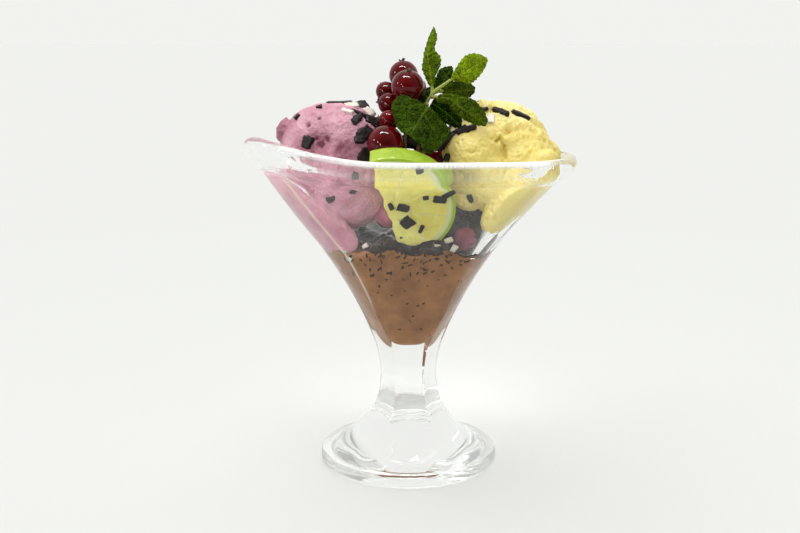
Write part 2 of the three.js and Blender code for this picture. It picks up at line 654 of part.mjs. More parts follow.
function makeContents() {
  const room = makeRoom();
  const lime = limeSlab(0);
  const limeSpace = limeSlab(GAP);
  const currantSpace = unite(CURRANTS.map((currant) => (
    currantBall(currant, GAP).add(currantTuft(currant, GAP)))));
  const stemSpace = unite([
    stalk(mintStemPaths[0], MINT_STEM_RADIUS, GAP),
    stalk(currantStalkPath, CURRANT_STALK_RADIUS, GAP),
  ]);

  const base = layer(() => LAYER_FLOOR, baseTop).intersect(room).subtract(limeSpace)
    .subtract(currantSpace);
  addPiece('chocolate_ice_cream', toGeometry(largest(base)), baseColour, 0.6);

  const aboveBase = layer((x, y) => baseTop(x, y) + GAP, () => ROOM_TOP).intersect(room);
  const aboveSauce = layer((x, y) => sauceTop(x, y) + GAP, () => ROOM_TOP).intersect(room);

  const sauce = layer((x, y) => baseTop(x, y) + GAP, sauceTop).intersect(room)
    .subtract(limeSpace).subtract(currantSpace).subtract(unite(berryLobes(GAP)))
    .trimByPlane(direction(LEFT_CORNER, 0).negate().toArray(), -SAUCE_REACH);
  addPiece('dark_sauce', toGeometry(largest(sauce)), darkChocolate, 0.2);

  const berry = unite([
    ball(new THREE.Vector3(...BERRY_SCOOP.centre), berryRadius, SCOOP_DETAIL).intersect(aboveSauce),
    unite(berryLobes(0)).intersect(aboveBase),
    ...berryToppings.map((bit) => topping(BERRY_SCOOP, berryRadius, bit)),
  ]).subtract(limeSpace).subtract(currantSpace).subtract(stemSpace);
  addPiece('berry_ice_cream', toGeometry(largest(berry)), berryColour, 0.55);

  const yellow = unite([
    ball(new THREE.Vector3(...YELLOW_SCOOP.centre), yellowRadius, SCOOP_DETAIL),
    lobe([48, -29, 117], [27, -18.5, 95], 17, 14, LOBE_DETAIL), // pressed down the front wall
    ...yellowToppings.map((bit) => topping(YELLOW_SCOOP, yellowRadius, bit)),
  ]).intersect(aboveSauce).subtract(limeSpace).subtract(currantSpace).subtract(stemSpace);
  addPiece('yellow_ice_cream', toGeometry(largest(yellow)), yellowColour, 0.55);

  const limeWhole = unite([lime, ...limeBits.map(limeBit)]).intersect(room);
  addPiece('lime_slice', toGeometry(largest(limeWhole)), limeColour, 0.4);
}

function makeFruit() {
  CURRANTS.forEach((currant, i) => {
    const fruit = currantBall(currant).add(currantTuft(currant));
    addPiece(`currant_${i + 1}`, toGeometry(fruit), currantColour, 0.15);
  });
  addPiece('currant_stalk', toGeometry(stalk(currantStalkPath, CURRANT_STALK_RADIUS)), stalkColour, 0.6);
}

function makeMint() {
  const stem = unite(mintStemPaths.map((path) => stalk(path, MINT_STEM_RADIUS)));
  addPiece('mint_stem', toGeometry(stem), stemColour, 0.5);
  LEAVES.forEach((leaf) => {
    addPiece(`mint_leaf_${leaf.name}`, leafGeometry(leaf), leafColour, 0.5);
  });
}

makeGlass();
makeContents();
makeFruit();
makeMint();

export default group;
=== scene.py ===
# An ice cream sundae in a three-cornered pressed-glass coupe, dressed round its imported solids.
# The frame's z is up, -y looks at the slice of lime, and lengths in this file are millimetres
# until a piece's points are handed to Blender, which takes metres.

import bmesh
import bpy
import math
import random
import numpy as np
from mathutils import Matrix, Quaternion, Vector, noise


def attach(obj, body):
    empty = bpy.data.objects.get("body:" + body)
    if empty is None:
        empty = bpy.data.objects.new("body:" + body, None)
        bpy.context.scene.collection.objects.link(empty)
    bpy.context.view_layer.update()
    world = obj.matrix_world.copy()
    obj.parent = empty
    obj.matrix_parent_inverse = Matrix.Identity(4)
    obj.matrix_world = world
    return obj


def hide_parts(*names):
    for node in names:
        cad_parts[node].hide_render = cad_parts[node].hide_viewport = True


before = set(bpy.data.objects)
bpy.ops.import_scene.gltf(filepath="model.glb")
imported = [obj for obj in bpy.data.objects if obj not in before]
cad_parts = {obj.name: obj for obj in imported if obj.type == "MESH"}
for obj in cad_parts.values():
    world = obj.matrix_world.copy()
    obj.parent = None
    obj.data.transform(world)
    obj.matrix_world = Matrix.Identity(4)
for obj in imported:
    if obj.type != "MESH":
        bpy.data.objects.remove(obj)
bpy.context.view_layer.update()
scene = bpy.context.scene
MM = 0.001

# Studio. White paper under the glass, painted lighter near the glass to hide the shadow there
# and darker far off, a bar-shaped softbox above, more of them at the left and in front, broad
# light from the ceiling, and pale walls that are brighter behind than in front.

CAMERA_BACK = 418
CAMERA_HEIGHT = 167.9
CAMERA_PITCH = 12.33
VIEW_SHIFT = -8.5 / 800
FLOOR_DROP = 0.15
FLOOR_REACH = 9000
# Painted light on the paper: its tone by distance from the glass, lighter near it to hide its shadow.
PAPER_PAINTED_LIGHT = [(0.03, (0.69, 0.695, 0.683)), (0.1, (0.664, 0.669, 0.657)),
               (0.2, (0.652, 0.657, 0.645)), (0.6, (0.636, 0.641, 0.629))]
SOFTBOX_TARGET = (0, 0, 110)
SOFTBOXES = (
    ("softbox_above", (-20, -90, 470), (210, 26), 0.8),
    ("softbox_above_end", (-122, -60, 455), (26, 80), 0.32),
    ("softbox_left", (-520, -120, 330), (60, 60), 0.35),
    ("softbox_front_left", (-430, -400, 300), (36, 90), 0.35),
    ("softbox_front_low", (-250, -430, 175), (26, 60), 0.22),
)
SUNS = (
    ("ceiling_light", (-260, -60, 1000), 75, 1.8),
    ("front_fill", (-150, -1000, 350), 130, 1.3),
)
ROOM_LEAN = (0, 0.45, 0.2)
ROOM_STOPS = ((0.1, 0.1), (0.5, 0.46), (0.8, 0.885))
ROOM_TINT = (1, 1.005, 0.975)


def made_material(name):
    """A new node material and its principled shader."""
    material = bpy.data.materials.new(name)
    material.use_nodes = True
    return material, material.node_tree.nodes["Principled BSDF"]


def set_look(shader, **values):
    """Plain values of a shader, by the names of its sockets."""
    for key, value in values.items():
        shader.inputs[key.replace("_", " ")].default_value = value


def add_node(material, kind, **values):
    """A node with its sockets, or its own settings, given by name."""
    made = material.node_tree.nodes.new("ShaderNode" + kind)
    for key, value in values.items():
        label = key.replace("_", " ")
        if label in made.inputs:
            made.inputs[label].default_value = value
        else:
            setattr(made, key, value)
    return made


def wire(material, source, target):
    material.node_tree.links.new(source, target)


def ramp(material, source, stops):
    """A colour ramp: stops are (place, colour)."""
    made = add_node(material, "ValToRGB")
    elements = made.color_ramp.elements
    while len(elements) < len(stops):
        elements.new(0.5)
    for element, (place, colour) in zip(elements, stops):
        element.position = place
        element.color = (*colour, 1)
    wire(material, source, made.inputs["Fac"])
    return made.outputs["Color"]


def add_mesh(name, points, faces, material, marks=None):
    """A mesh object from points in millimetres, with values painted on its points."""
    mesh = bpy.data.meshes.new(name)
    mesh.from_pydata([tuple(p) for p in np.asarray(points, float) * MM], [], faces)
    mesh.polygons.foreach_set("use_smooth", [True] * len(mesh.polygons))
    for key, values in (marks or {}).items():
        layer = mesh.attributes.new(key, "FLOAT", "POINT")
        layer.data.foreach_set("value", np.asarray(values, np.float32))
    made = bpy.data.objects.new(name, mesh)
    scene.collection.objects.link(made)
    made.data.materials.append(material)
    return made


camera_data = bpy.data.cameras.new("camera")
camera_data.lens = 50
camera_data.sensor_width = 36
camera_data.shift_x = VIEW_SHIFT
camera_data.clip_start = 0.01
camera = bpy.data.objects.new("camera", camera_data)
camera.location = (0, -CAMERA_BACK * MM, CAMERA_HEIGHT * MM)
camera.rotation_euler = (math.radians(90 - CAMERA_PITCH), 0, 0)
scene.collection.objects.link(camera)
scene.camera = camera
scene.view_settings.view_transform = "Standard"
scene.cycles.max_bounces = 24
scene.cycles.transmission_bounces = 24
scene.cycles.glossy_bounces = 16

paper, paper_shader = made_material("white_paper")
set_look(paper_shader, Roughness=0.9, Specular_IOR_Level=0.0)
paper_reach = add_node(paper, "VectorMath", operation="LENGTH")
wire(paper, add_node(paper, "TexCoord").outputs["Object"], paper_reach.inputs[0])
# Painted light: the paper's tone steps down with distance from the glass.
wire(paper, ramp(paper, paper_reach.outputs["Value"], PAPER_PAINTED_LIGHT), paper_shader.inputs["Base Color"])

floor_ticks = np.linspace(-FLOOR_REACH, FLOOR_REACH, 21)
floor_points = [(x, y, -FLOOR_DROP) for y in floor_ticks for x in floor_ticks]
floor_count = len(floor_ticks)
floor_faces = [(j * floor_count + i, j * floor_count + i + 1, (j + 1) * floor_count + i + 1,
                (j + 1) * floor_count + i)
               for j in range(floor_count - 1) for i in range(floor_count - 1)]
floor = add_mesh("paper_floor", floor_points, floor_faces, paper)


def add_lamp(name, kind, power, place, target):
    lamp = bpy.data.objects.new(name, bpy.data.lights.new(name, kind))
    lamp.data.energy = power
    lamp.rotation_euler = (Vector(target) - Vector(place)).to_track_quat("-Z", "Y").to_euler()
    scene.collection.objects.link(lamp)
    return lamp


for name, place, size, power in SOFTBOXES:
    softbox = add_lamp(name, "AREA", power, place, SOFTBOX_TARGET)
    softbox.location = Vector(place) * MM
    softbox.data.shape = "RECTANGLE"
    softbox.data.size = size[0] * MM
    softbox.data.size_y = size[1] * MM
    softbox.visible_diffuse = False

for name, place, spread, power in SUNS:
    sun = add_lamp(name, "SUN", power, place, (0, 0, 0))
    sun.data.angle = math.radians(spread)
    sun.visible_glossy = False

world = bpy.data.worlds.new("pale_room")
scene.world = world
world.use_nodes = True
room_nodes = world.node_tree.nodes
room_tone = room_nodes.new("ShaderNodeValToRGB")
while len(room_tone.color_ramp.elements) < len(ROOM_STOPS):
    room_tone.color_ramp.elements.new(0.5)
for element, (place, level) in zip(room_tone.color_ramp.elements, ROOM_STOPS):
    element.position = place
    element.color = (*(tint * level for tint in ROOM_TINT), 1)
room_lean = room_nodes.new("ShaderNodeVectorMath")
room_lean.operation = "DOT_PRODUCT"
room_lean.inputs[1].default_value = ROOM_LEAN
room_shift = room_nodes.new("ShaderNodeMath")
room_shift.operation = "ADD"
room_shift.inputs[1].default_value = 0.5
room_place = room_nodes.new("ShaderNodeTexCoord")
world.node_tree.links.new(room_place.outputs["Generated"], room_lean.inputs[0])
world.node_tree.links.new(room_lean.outputs["Value"], room_shift.inputs[0])
world.node_tree.links.new(room_shift.outputs[0], room_tone.inputs["Fac"])
world.node_tree.links.new(room_tone.outputs["Color"], room_nodes["Background"].inputs["Color"])
room_nodes["Background"].inputs["Strength"].default_value = 1.0

# Glass. One piece of clear pressed soda glass: a round foot with a rolled edge, a six-sided
# stem, and a bowl that opens into a soft triangle with two ridges at each corner. The collar
# under the lip is stippled, and the left corner of the lip is drawn up. A pale line along the
# front-left ridges and a white band along the front of the lip are painted highlights.

STEM_RADIUS = 11
STEM_WAIST = 35.6
BOWL_TOP = 113.2
BOWL_REACH = 54.2
BOWL_FLARE = 1.56
CAVITY_BOTTOM = 47.2
CAVITY_JOIN = 62
CAVITY_JOIN_REACH = 13.8
CAVITY_ROUND = 0.33
WALL_TOP = 5.2
PLAN_TURN = 3
CORNER_PULL = 0.82
CORNER_LIFTS = (0, 0, 7.6)
LIFT_SPREAD = 17
LIFT_START = 88
LIFT_END = 120
LIP_INSIDE = 55.1
LIP_INSIDE_TOP = 119.6
LIP_LEVEL = 121.2
NO_LIMIT = 500.0
STEM_RIDGE = 30
RIDGE_LEVELS = (STEM_WAIST, 46, 60, 86, 100, 112)
RIDGE_ANGLES = (STEM_RIDGE, STEM_RIDGE, 43, 44.5, 50, 53)
BOWL_FACET = 0.45
BOWL_FACET_LEVELS = (46, 76)
FOOT_FACET_REACH = (11.3, 18)
FOOT_HOLLOW = 0.35
FOOT_LINE = [(29.5, 0.35), (31.8, 0.1), (33.2, 0), (34.2, 0.45), (34.6, 1.5), (34.55, 2.8),
             (34.1, 3.7), (33.2, 4.25), (31.8, 4.45), (30.4, 4.75), (27, 6.9), (22.6, 10.6),
             (18.5, 14.4), (15.3, 18.4), (12.8, 22.9), (11.4, 28), (STEM_RADIUS, STEM_WAIST)]
COLLAR_LINE = [(BOWL_REACH, BOWL_TOP), (55.6, 113.85), (57.2, 114.95), (58.55, 116.5),
               (59.3, 118.1), (59.6, 119.8), (59.2, 121), (58.2, 121.75), (57.1, 121.9),
               (56.2, 121.6), (55.5, 120.8), (LIP_INSIDE, LIP_INSIDE_TOP)]
BUBBLED_LEFT = (-48, -43, -33, -25)
BUBBLED_RIGHT = (22, 30, 50, 56)
BUBBLES_ELSEWHERE = 0.06


def smoothstep(value, low, high):
    share = np.clip((np.asarray(value, float) - low) / (high - low), 0, 1)
    return share * share * (3 - 2 * share)


def lerp(a, b, share):
    return a + (b - a) * share


def outer_reach(z):
    rise = np.maximum(np.asarray(z, float) - STEM_WAIST, 0) / (BOWL_TOP - STEM_WAIST)
    return STEM_RADIUS + (BOWL_REACH - STEM_RADIUS) * rise ** BOWL_FLARE


def cavity_reach(z):
    z = np.asarray(z, float)
    rise = np.maximum(z - CAVITY_BOTTOM, 0) / (CAVITY_JOIN - CAVITY_BOTTOM)
    low = CAVITY_JOIN_REACH * rise ** CAVITY_ROUND
    wall_at_join = outer_reach(CAVITY_JOIN) - CAVITY_JOIN_REACH
    rise = (z - CAVITY_JOIN) / (BOWL_TOP - CAVITY_JOIN)
    high = outer_reach(z) - lerp(wall_at_join, WALL_TOP, rise)
    return np.where(z < CAVITY_JOIN, low, high)


def corner_pull(reach):
    return CORNER_PULL * np.maximum(reach - STEM_RADIUS, 0)


def lift_share(z):
    return np.clip((np.asarray(z, float) - LIFT_START) / (LIFT_END - LIFT_START), 0, 1) ** 2


def corner_lift(bearing):
    lift = np.zeros_like(bearing)
    for k, height in enumerate(CORNER_LIFTS):
        corner = math.radians(PLAN_TURN + 60 + 120 * k)
        away = np.arctan2(np.sin(bearing - corner), np.cos(bearing - corner))
        lift = lift + height * np.exp(-0.5 * (away / math.radians(LIFT_SPREAD)) ** 2)
    return lift


def soft_radius(from_corner, reach, pull):
    """Radius of the soft triangle at an angle from its nearest corner."""
    round_part = reach - pull * math.cos(math.pi / 6)
    side = round_part + pull / 2
    arc_end = np.arctan2(round_part * math.sin(math.pi / 3), pull + round_part * math.cos(math.pi / 3))
    straight = side / np.cos(math.pi / 3 - from_corner)
    under_root = np.maximum(round_part ** 2 - (pull * np.sin(from_corner)) ** 2, 0)
    arc = pull * np.cos(from_corner) + np.sqrt(under_root)
    return np.where(from_corner > arc_end, straight, arc)


def facet_radius(from_corner, reach, pull, facet, ridge):
    """The same with its sides pressed flat by a share between two ridges."""
    soft = soft_radius(from_corner, reach, pull)
    narrow = math.pi / 3 - ridge
    at_ridge = soft_radius(narrow, reach, pull)
    flat = np.where(from_corner < narrow,
                    at_ridge * np.cos(narrow) / np.cos(from_corner),
                    at_ridge * np.cos(ridge) / np.cos(math.pi / 3 - from_corner))
    return lerp(soft, flat, facet)


def angle_from_corner(bearing):
    turned = np.degrees(bearing) - PLAN_TURN
    from_face = np.abs(((turned + 60) % 120) - 60)
    return np.radians(60 - from_face)


def wall_radius(bearing, z):
    """Radius of the inside of the wall at a bearing and a height."""
    level = z
    for _ in range(4):
        level = z - corner_lift(bearing) * lift_share(level)
    outer = outer_reach(np.minimum(level, BOWL_TOP))
    reach = np.where(level < BOWL_TOP, cavity_reach(np.minimum(level, BOWL_TOP)),
                     lerp(BOWL_REACH - WALL_TOP, LIP_INSIDE, smoothstep(level, BOWL_TOP, LIP_INSIDE_TOP)))
    pull = np.minimum(corner_pull(outer), 0.75 * reach)
    inside = soft_radius(angle_from_corner(bearing), reach, pull)
    return np.where(level < LIP_LEVEL, inside, NO_LIMIT)


def bearing_of(points):
    return np.arctan2(points[:, 0], -points[:, 1])


def rounded_line(knots, steps):
    """Points along a smooth line through the knots."""
    ends = [knots[0]] + list(knots) + [knots[-1]]
    line = []
    for a, b, c, d in zip(ends, ends[1:], ends[2:], ends[3:]):
        for i in range(steps):
            t = i / steps
            line.append(tuple(
                0.5 * (2 * q + (r - p) * t + (2 * p - 5 * q + 4 * r - s) * t * t
                       + (3 * q - p - 3 * r + s) * t ** 3)
                for p, q, r, s in zip(a, b, c, d)))
    return line + [tuple(knots[-1])]


def column_angles(step, fine):
    """Angles of the columns, closer together beside the ridges."""
    one_face = set()
    for k in range(int(120 / step)):
        one_face.add(round(-60 + k * step, 4))
    for ridge in (-30, 30):
        for offset in fine:
            one_face.add(round(ridge + offset, 4))
    return np.array([face + a for face in (0, 120, 240) for a in sorted(one_face)])


def pressed_shape(rows, turned):
    """Points and faces of rows of points on the plan of the glass, bottom row first."""
    wrapped = ((turned + 60) % 120) - 60
    from_face = np.abs(wrapped)
    face = turned - wrapped
    points = []
    for row in rows:
        ridge = row.get("ridge", STEM_RIDGE)
        spread = np.where(from_face <= 30, from_face * ridge / 30,
                          ridge + (from_face - 30) * (60 - ridge) / 30)
        bearing = np.radians(face + np.sign(wrapped) * spread + PLAN_TURN)
        radius = facet_radius(np.radians(60 - spread), row["reach"], row.get("pull", 0),
                              row.get("facet", 0), math.radians(ridge))
        z = row["z"] + corner_lift(bearing) * row.get("lift", 0)
        points.append(np.stack([radius * np.sin(bearing), -radius * np.cos(bearing),
                                np.broadcast_to(z, bearing.shape)], axis=1))
    count = len(turned)
    faces = []
    for j in range(len(rows) - 1):
        for i in range(count):
            k = (i + 1) % count
            faces.append((j * count + i, j * count + k, (j + 1) * count + k, (j + 1) * count + i))
    faces.append(tuple(reversed(range(count))))
    faces.append(tuple(range((len(rows) - 1) * count, len(rows) * count)))
    return np.concatenate(points), faces


def bowl_row(reach, z, facet, pull=None):
    ridge = float(np.interp(z, RIDGE_LEVELS, RIDGE_ANGLES))
    return {"reach": reach, "z": z, "facet": facet, "ridge": ridge, "lift": float(lift_share(z)),
            "pull": float(corner_pull(reach) if pull is None else pull)}


glass_rows = [{"reach": reach, "z": FOOT_HOLLOW} for reach in (4, 12, 20, 26)]
for reach, z in rounded_line(FOOT_LINE, 4)[:-1]:
    facet = 1 - float(smoothstep(reach, *FOOT_FACET_REACH)) if z > 4.6 else 0
    glass_rows.append({"reach": reach, "z": z, "facet": facet})
for z in np.linspace(STEM_WAIST, BOWL_TOP, 44)[:-1]:
    facet = lerp(1, BOWL_FACET, float(smoothstep(z, *BOWL_FACET_LEVELS)))
    glass_rows.append(bowl_row(float(outer_reach(z)), z, facet))
collar_start = len(glass_rows)
for reach, z in rounded_line(COLLAR_LINE, 3):
    glass_rows.append(bowl_row(reach, z, 0))
collar_end = len(glass_rows)
cavity_levels = list(np.linspace(BOWL_TOP + 3, CAVITY_JOIN, 24)) + [
    CAVITY_BOTTOM + (CAVITY_JOIN - CAVITY_BOTTOM) * share ** 2
    for share in np.linspace(0.96, 0.08, 14)]
for z in cavity_levels:
    level = min(z, BOWL_TOP)
    widening = (LIP_INSIDE - BOWL_REACH + WALL_TOP) * float(smoothstep(z, BOWL_TOP, LIP_INSIDE_TOP))
    inner_reach = float(cavity_reach(level)) + widening
    inner_pull = min(float(corner_pull(outer_reach(level))), 0.75 * inner_reach)
    glass_rows.append(bowl_row(inner_reach, z, 0, inner_pull))


def between(value, low, low_end, high, high_end):
    """1 inside a stretch, fading to 0 at both of its ends."""
    return smoothstep(value, low, low_end) * (1 - smoothstep(value, high, high_end))


glass_columns = column_angles(2, (-1.1, -0.5, 0.5, 1.1))
glass_points, glass_faces = pressed_shape(glass_rows, glass_columns)
across, ahead = glass_points[:, 0], glass_points[:, 1]
row_of_point = np.repeat(np.arange(len(glass_rows)), len(glass_columns))
row_level = np.repeat([row["z"] for row in glass_rows], len(glass_columns))
on_collar = (row_of_point >= collar_start) & (row_of_point < collar_end)
stipple = ((row_of_point > collar_start + 1) & (row_of_point < collar_start + 19)).astype(float)
bubbled = np.maximum(between(across, *BUBBLED_LEFT), 0.8 * between(across, *BUBBLED_RIGHT))
stipple *= lerp(BUBBLES_ELSEWHERE, 1, bubbled)
# Painted highlight: a white band along the top of the lip, strongest at the front and faint at the
# corners.
lip_painted_highlight = np.where(on_collar, smoothstep(row_level, 119.5, 120.7), 0)
lip_painted_highlight *= 0.1 + 0.9 * smoothstep(across, -46, -16) * smoothstep(-ahead, -5, 18)
lip_painted_highlight *= 1 - 0.7 * smoothstep(across, 44, 54)
# Painted highlight: a pale cream line along the ridges, full on the front-left ones and faint on the rest.
from_ridge = np.abs(np.abs(((glass_columns + 60) % 120) - 60) - 30)
ridge_painted_highlight = np.tile(np.exp(-(from_ridge / 0.7) ** 2), len(glass_rows))
ridge_painted_highlight = ridge_painted_highlight * (row_of_point < collar_start) * smoothstep(row_level, 60, 70)
ridge_painted_highlight *= np.where((across < 0) & (ahead < 12), 1, 0.2)


def object_noise(material, scale, detail, roughness=0.55, stretch=None):
    """Noise fixed to the piece, with its scale in features per metre."""
    place = add_node(material, "TexCoord").outputs["Object"]
    if stretch:
        mapping = add_node(material, "Mapping")
        mapping.inputs["Scale"].default_value = stretch
        wire(material, place, mapping.inputs["Vector"])
        place = mapping.outputs["Vector"]
    made = add_node(material, "TexNoise", Scale=scale, Detail=detail, Roughness=roughness)
    wire(material, place, made.inputs["Vector"])
    return made.outputs["Fac"]


def object_cells(material, scale, feature="F1"):
    """Distance to scattered points, for pits, bubbles and cells."""
    place = add_node(material, "TexCoord").outputs["Object"]
    made = add_node(material, "TexVoronoi", Scale=scale)
    made.feature = feature
    wire(material, place, made.inputs["Vector"])
    return made.outputs["Distance"]


def blend_colour(material, share, first, second):
    """Two colours mixed by a share; each may be a socket or a plain colour."""
    made = add_node(material, "Mix", data_type="RGBA")
    for socket, given in ((made.inputs[6], first), (made.inputs[7], second)):
        if isinstance(given, tuple):
            socket.default_value = (*given, 1)
        else:
            wire(material, given, socket)
    if isinstance(share, float):
        made.inputs[0].default_value = share
    else:
        wire(material, share, made.inputs[0])
    return made.outputs[2]


def mark(material, name):
    """A value painted on the points of the mesh."""
    return add_node(material, "Attribute", attribute_name=name).outputs["Fac"]


def relief(material, shader, height, strength, distance, under=None):
    """Fine relief in the surface; distance is in metres."""
    made = add_node(material, "Bump", Strength=strength, Distance=distance)
    wire(material, height, made.inputs["Height"])
    if under is not None:
        wire(material, under, made.inputs["Normal"])
    wire(material, made.outputs["Normal"], shader.inputs["Normal"])
    return made.outputs["Normal"]


glass_material, glass_shader = made_material("clear_glass")
# The ridge mark tints the glass cream and makes it less clear: a painted highlight.
glass_tone = blend_colour(glass_material, mark(glass_material, "ridge"), (0.985, 0.992, 0.988),
                          (0.9, 0.8, 0.58))
wire(glass_material, glass_tone, glass_shader.inputs["Base Color"])
set_look(glass_shader, Roughness=0.0, IOR=1.5)
# Along the painted lip highlight the glass is made partly white instead of clear, in fine ticks.
lip_highlight_ticks = ramp(glass_material, object_noise(glass_material, 1500, 2, 0.5, (1, 0.2, 0.05)),
                 [(0.35, (0.34,) * 3), (0.65, (0.1,) * 3)])
lip_highlight_clear = blend_colour(glass_material, mark(glass_material, "lip_painted_highlight"), (1.0, 1.0, 1.0), lip_highlight_ticks)
painted_highlights_clear = blend_colour(glass_material, mark(glass_material, "ridge"), lip_highlight_clear, (0.35, 0.35, 0.35))
wire(glass_material, painted_highlights_clear, glass_shader.inputs["Transmission Weight"])
stipple_grain = object_cells(glass_material, 600, "SMOOTH_F1")
stipple_depth = add_node(glass_material, "Math", operation="MULTIPLY")
wire(glass_material, stipple_grain, stipple_depth.inputs[0])
wire(glass_material, mark(glass_material, "stipple"), stipple_depth.inputs[1])
press_waves = add_node(glass_material, "Bump", Strength=0.2, Distance=0.0008)
wire(glass_material, object_noise(glass_material, 34, 2, 0.4), press_waves.inputs["Height"])
relief(glass_material, glass_shader, stipple_depth.outputs[0], 0.32, 0.0005, press_waves.outputs["Normal"])
lamp_light = add_node(glass_material, "LightPath")
lamp_pass = add_node(glass_material, "BsdfTransparent", Color=(0.88, 0.885, 0.88, 1))
glass_mix = add_node(glass_material, "MixShader")
wire(glass_material, lamp_light.outputs["Is Shadow Ray"], glass_mix.inputs[0])
wire(glass_material, glass_shader.outputs[0], glass_mix.inputs[1])
wire(glass_material, lamp_pass.outputs[0], glass_mix.inputs[2])
glass_output = glass_material.node_tree.nodes["Material Output"]
wire(glass_material, glass_mix.outputs[0], glass_output.inputs["Surface"])

coupe = add_mesh("pressed_coupe", glass_points, glass_faces, glass_material,
                 {"stipple": stipple, "lip_painted_highlight": lip_painted_highlight, "ridge": ridge_painted_highlight})
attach(coupe, "root")
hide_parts("glass")

# Chocolate ice cream. It is packed into the bottom of the bowl up to a wavy top, with curled
# crests against the front wall and chips of dark chocolate all through it.

BASE_LEVEL = 87.2
BASE_TILT = 0.03
BASE_INTO_WALL = 0.3
SPECK_COUNT = 160
SPECKS_NEAR_TOP = 0.8


def base_top(x, y):
    return (BASE_LEVEL + 0.9 * np.sin(x / 3.1 + 0.6) * np.cos(y / 6.3)
            + 0.5 * np.sin(x / 1.7 + y / 2.9) - BASE_TILT * x)


def noise_at(points, size, seed, octaves=3):
    """Smooth noise from -1 to 1 at each point; size is its wavelength in millimetres."""
    shift = Vector((seed * 17.3, seed * 5.9, seed * 11.1))
    return np.array([noise.fractal(Vector(p) / size + shift, 0.9, 2.0, octaves) for p in points])


def filling(top_at, bottom_at, into_wall, edge_at=None, wall_rows=40):
    """A layer that fills the bowl from wall to wall between two heights."""
    columns = 240
    rings = 44
    bearings = np.linspace(0, 2 * math.pi, columns, endpoint=False)
    rows = []

    def reach_at(z):
        radius = wall_radius(bearings, z) + into_wall
        return radius if edge_at is None else np.minimum(radius, edge_at(bearings))

    def level_of(surface):
        z = np.full(columns, BASE_LEVEL)
        for _ in range(6):
            r = reach_at(z)
            z = surface(r * np.sin(bearings), -r * np.cos(bearings))
        return z

    high = level_of(top_at)
    low = level_of(bottom_at) if bottom_at else np.full(columns, CAVITY_BOTTOM + 0.12)
    if bottom_at:
        for share in np.linspace(0.08, 0.92, 10):
            r = reach_at(low) * share
            x, y = r * np.sin(bearings), -r * np.cos(bearings)
            rows.append(np.stack([x, y, bottom_at(x, y)], axis=1))
    for share in np.linspace(0, 1, wall_rows):
        z = low + (high - low) * (share if bottom_at else share ** 1.5)
        r = reach_at(z)
        rows.append(np.stack([r * np.sin(bearings), -r * np.cos(bearings), z], axis=1))
    for share in np.linspace(0.985, 0.02, rings):
        r = reach_at(high) * share
        x, y = r * np.sin(bearings), -r * np.cos(bearings)
        rows.append(np.stack([x, y, top_at(x, y)], axis=1))
    faces = []
    for j in range(len(rows) - 1):
        for i in range(columns):
            k = (i + 1) % columns
            faces.append((j * columns + i, j * columns + k,
                          (j + 1) * columns + k, (j + 1) * columns + i))
    faces.append(tuple(reversed(range(columns))))
    faces.append(tuple(range((len(rows) - 1) * columns, len(rows) * columns)))
    return np.concatenate(rows), faces


def creamy(name, pale, deep, speck=None, painted_shade=None, roughness=0.5, grain=0.12, scatter=0.25,
           reach=1.8, glow=(1.0, 0.7, 0.5)):
    """Ice cream: a mottled colour, a deeper colour painted in as shade where the mesh marks it, fine pores
    and a little light let in.
    """
    material, shader = made_material(name)
    broad = ramp(material, object_noise(material, 110, 5, 0.6), [(0.34, deep), (0.66, pale)])
    # Painted shade: the mark on the points blends in the deeper colour.
    if painted_shade:
        broad = blend_colour(material, mark(material, "painted_shade"), broad, painted_shade)
    if speck:
        cells = object_cells(material, 620)
        dots = ramp(material, cells, [(0.05, (1, 1, 1)), (0.12, (0, 0, 0))])
        broad = blend_colour(material, dots, broad, speck)
    wire(material, broad, shader.inputs["Base Color"])
    set_look(shader, Roughness=roughness, Subsurface_Weight=scatter, Subsurface_Radius=glow,
             Subsurface_Scale=reach * MM)
    pores = add_node(material, "Bump", Strength=grain, Distance=0.0005)
    wire(material, object_cells(material, 900), pores.inputs["Height"])
    relief(material, shader, object_noise(material, 1500, 6, 0.7), grain, 0.0004, pores.outputs["Normal"])
    return material


chocolate_material = creamy("chocolate_ice_cream_look", (0.48, 0.218, 0.062), (0.255, 0.096, 0.016))
base_points, base_faces = filling(base_top, None, BASE_INTO_WALL)
wrinkle = 1.3 * noise_at(base_points, 4.6, 3) + 0.6 * noise_at(base_points, 1.7, 8)
base_points[:, 2] += wrinkle * smoothstep(base_points[:, 2], BASE_LEVEL - 5, BASE_LEVEL - 1.5)
base = add_mesh("packed_chocolate", base_points, base_faces, chocolate_material)
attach(base, "root")
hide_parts("chocolate_ice_cream")


def facing(normal, turn):
    """A turn that lays a piece's z along the normal, then spins it by turn degrees about it."""
    return (Vector((0, 0, 1)).rotation_difference(Vector(normal))
            @ Quaternion((0, 0, 1), math.radians(turn)))


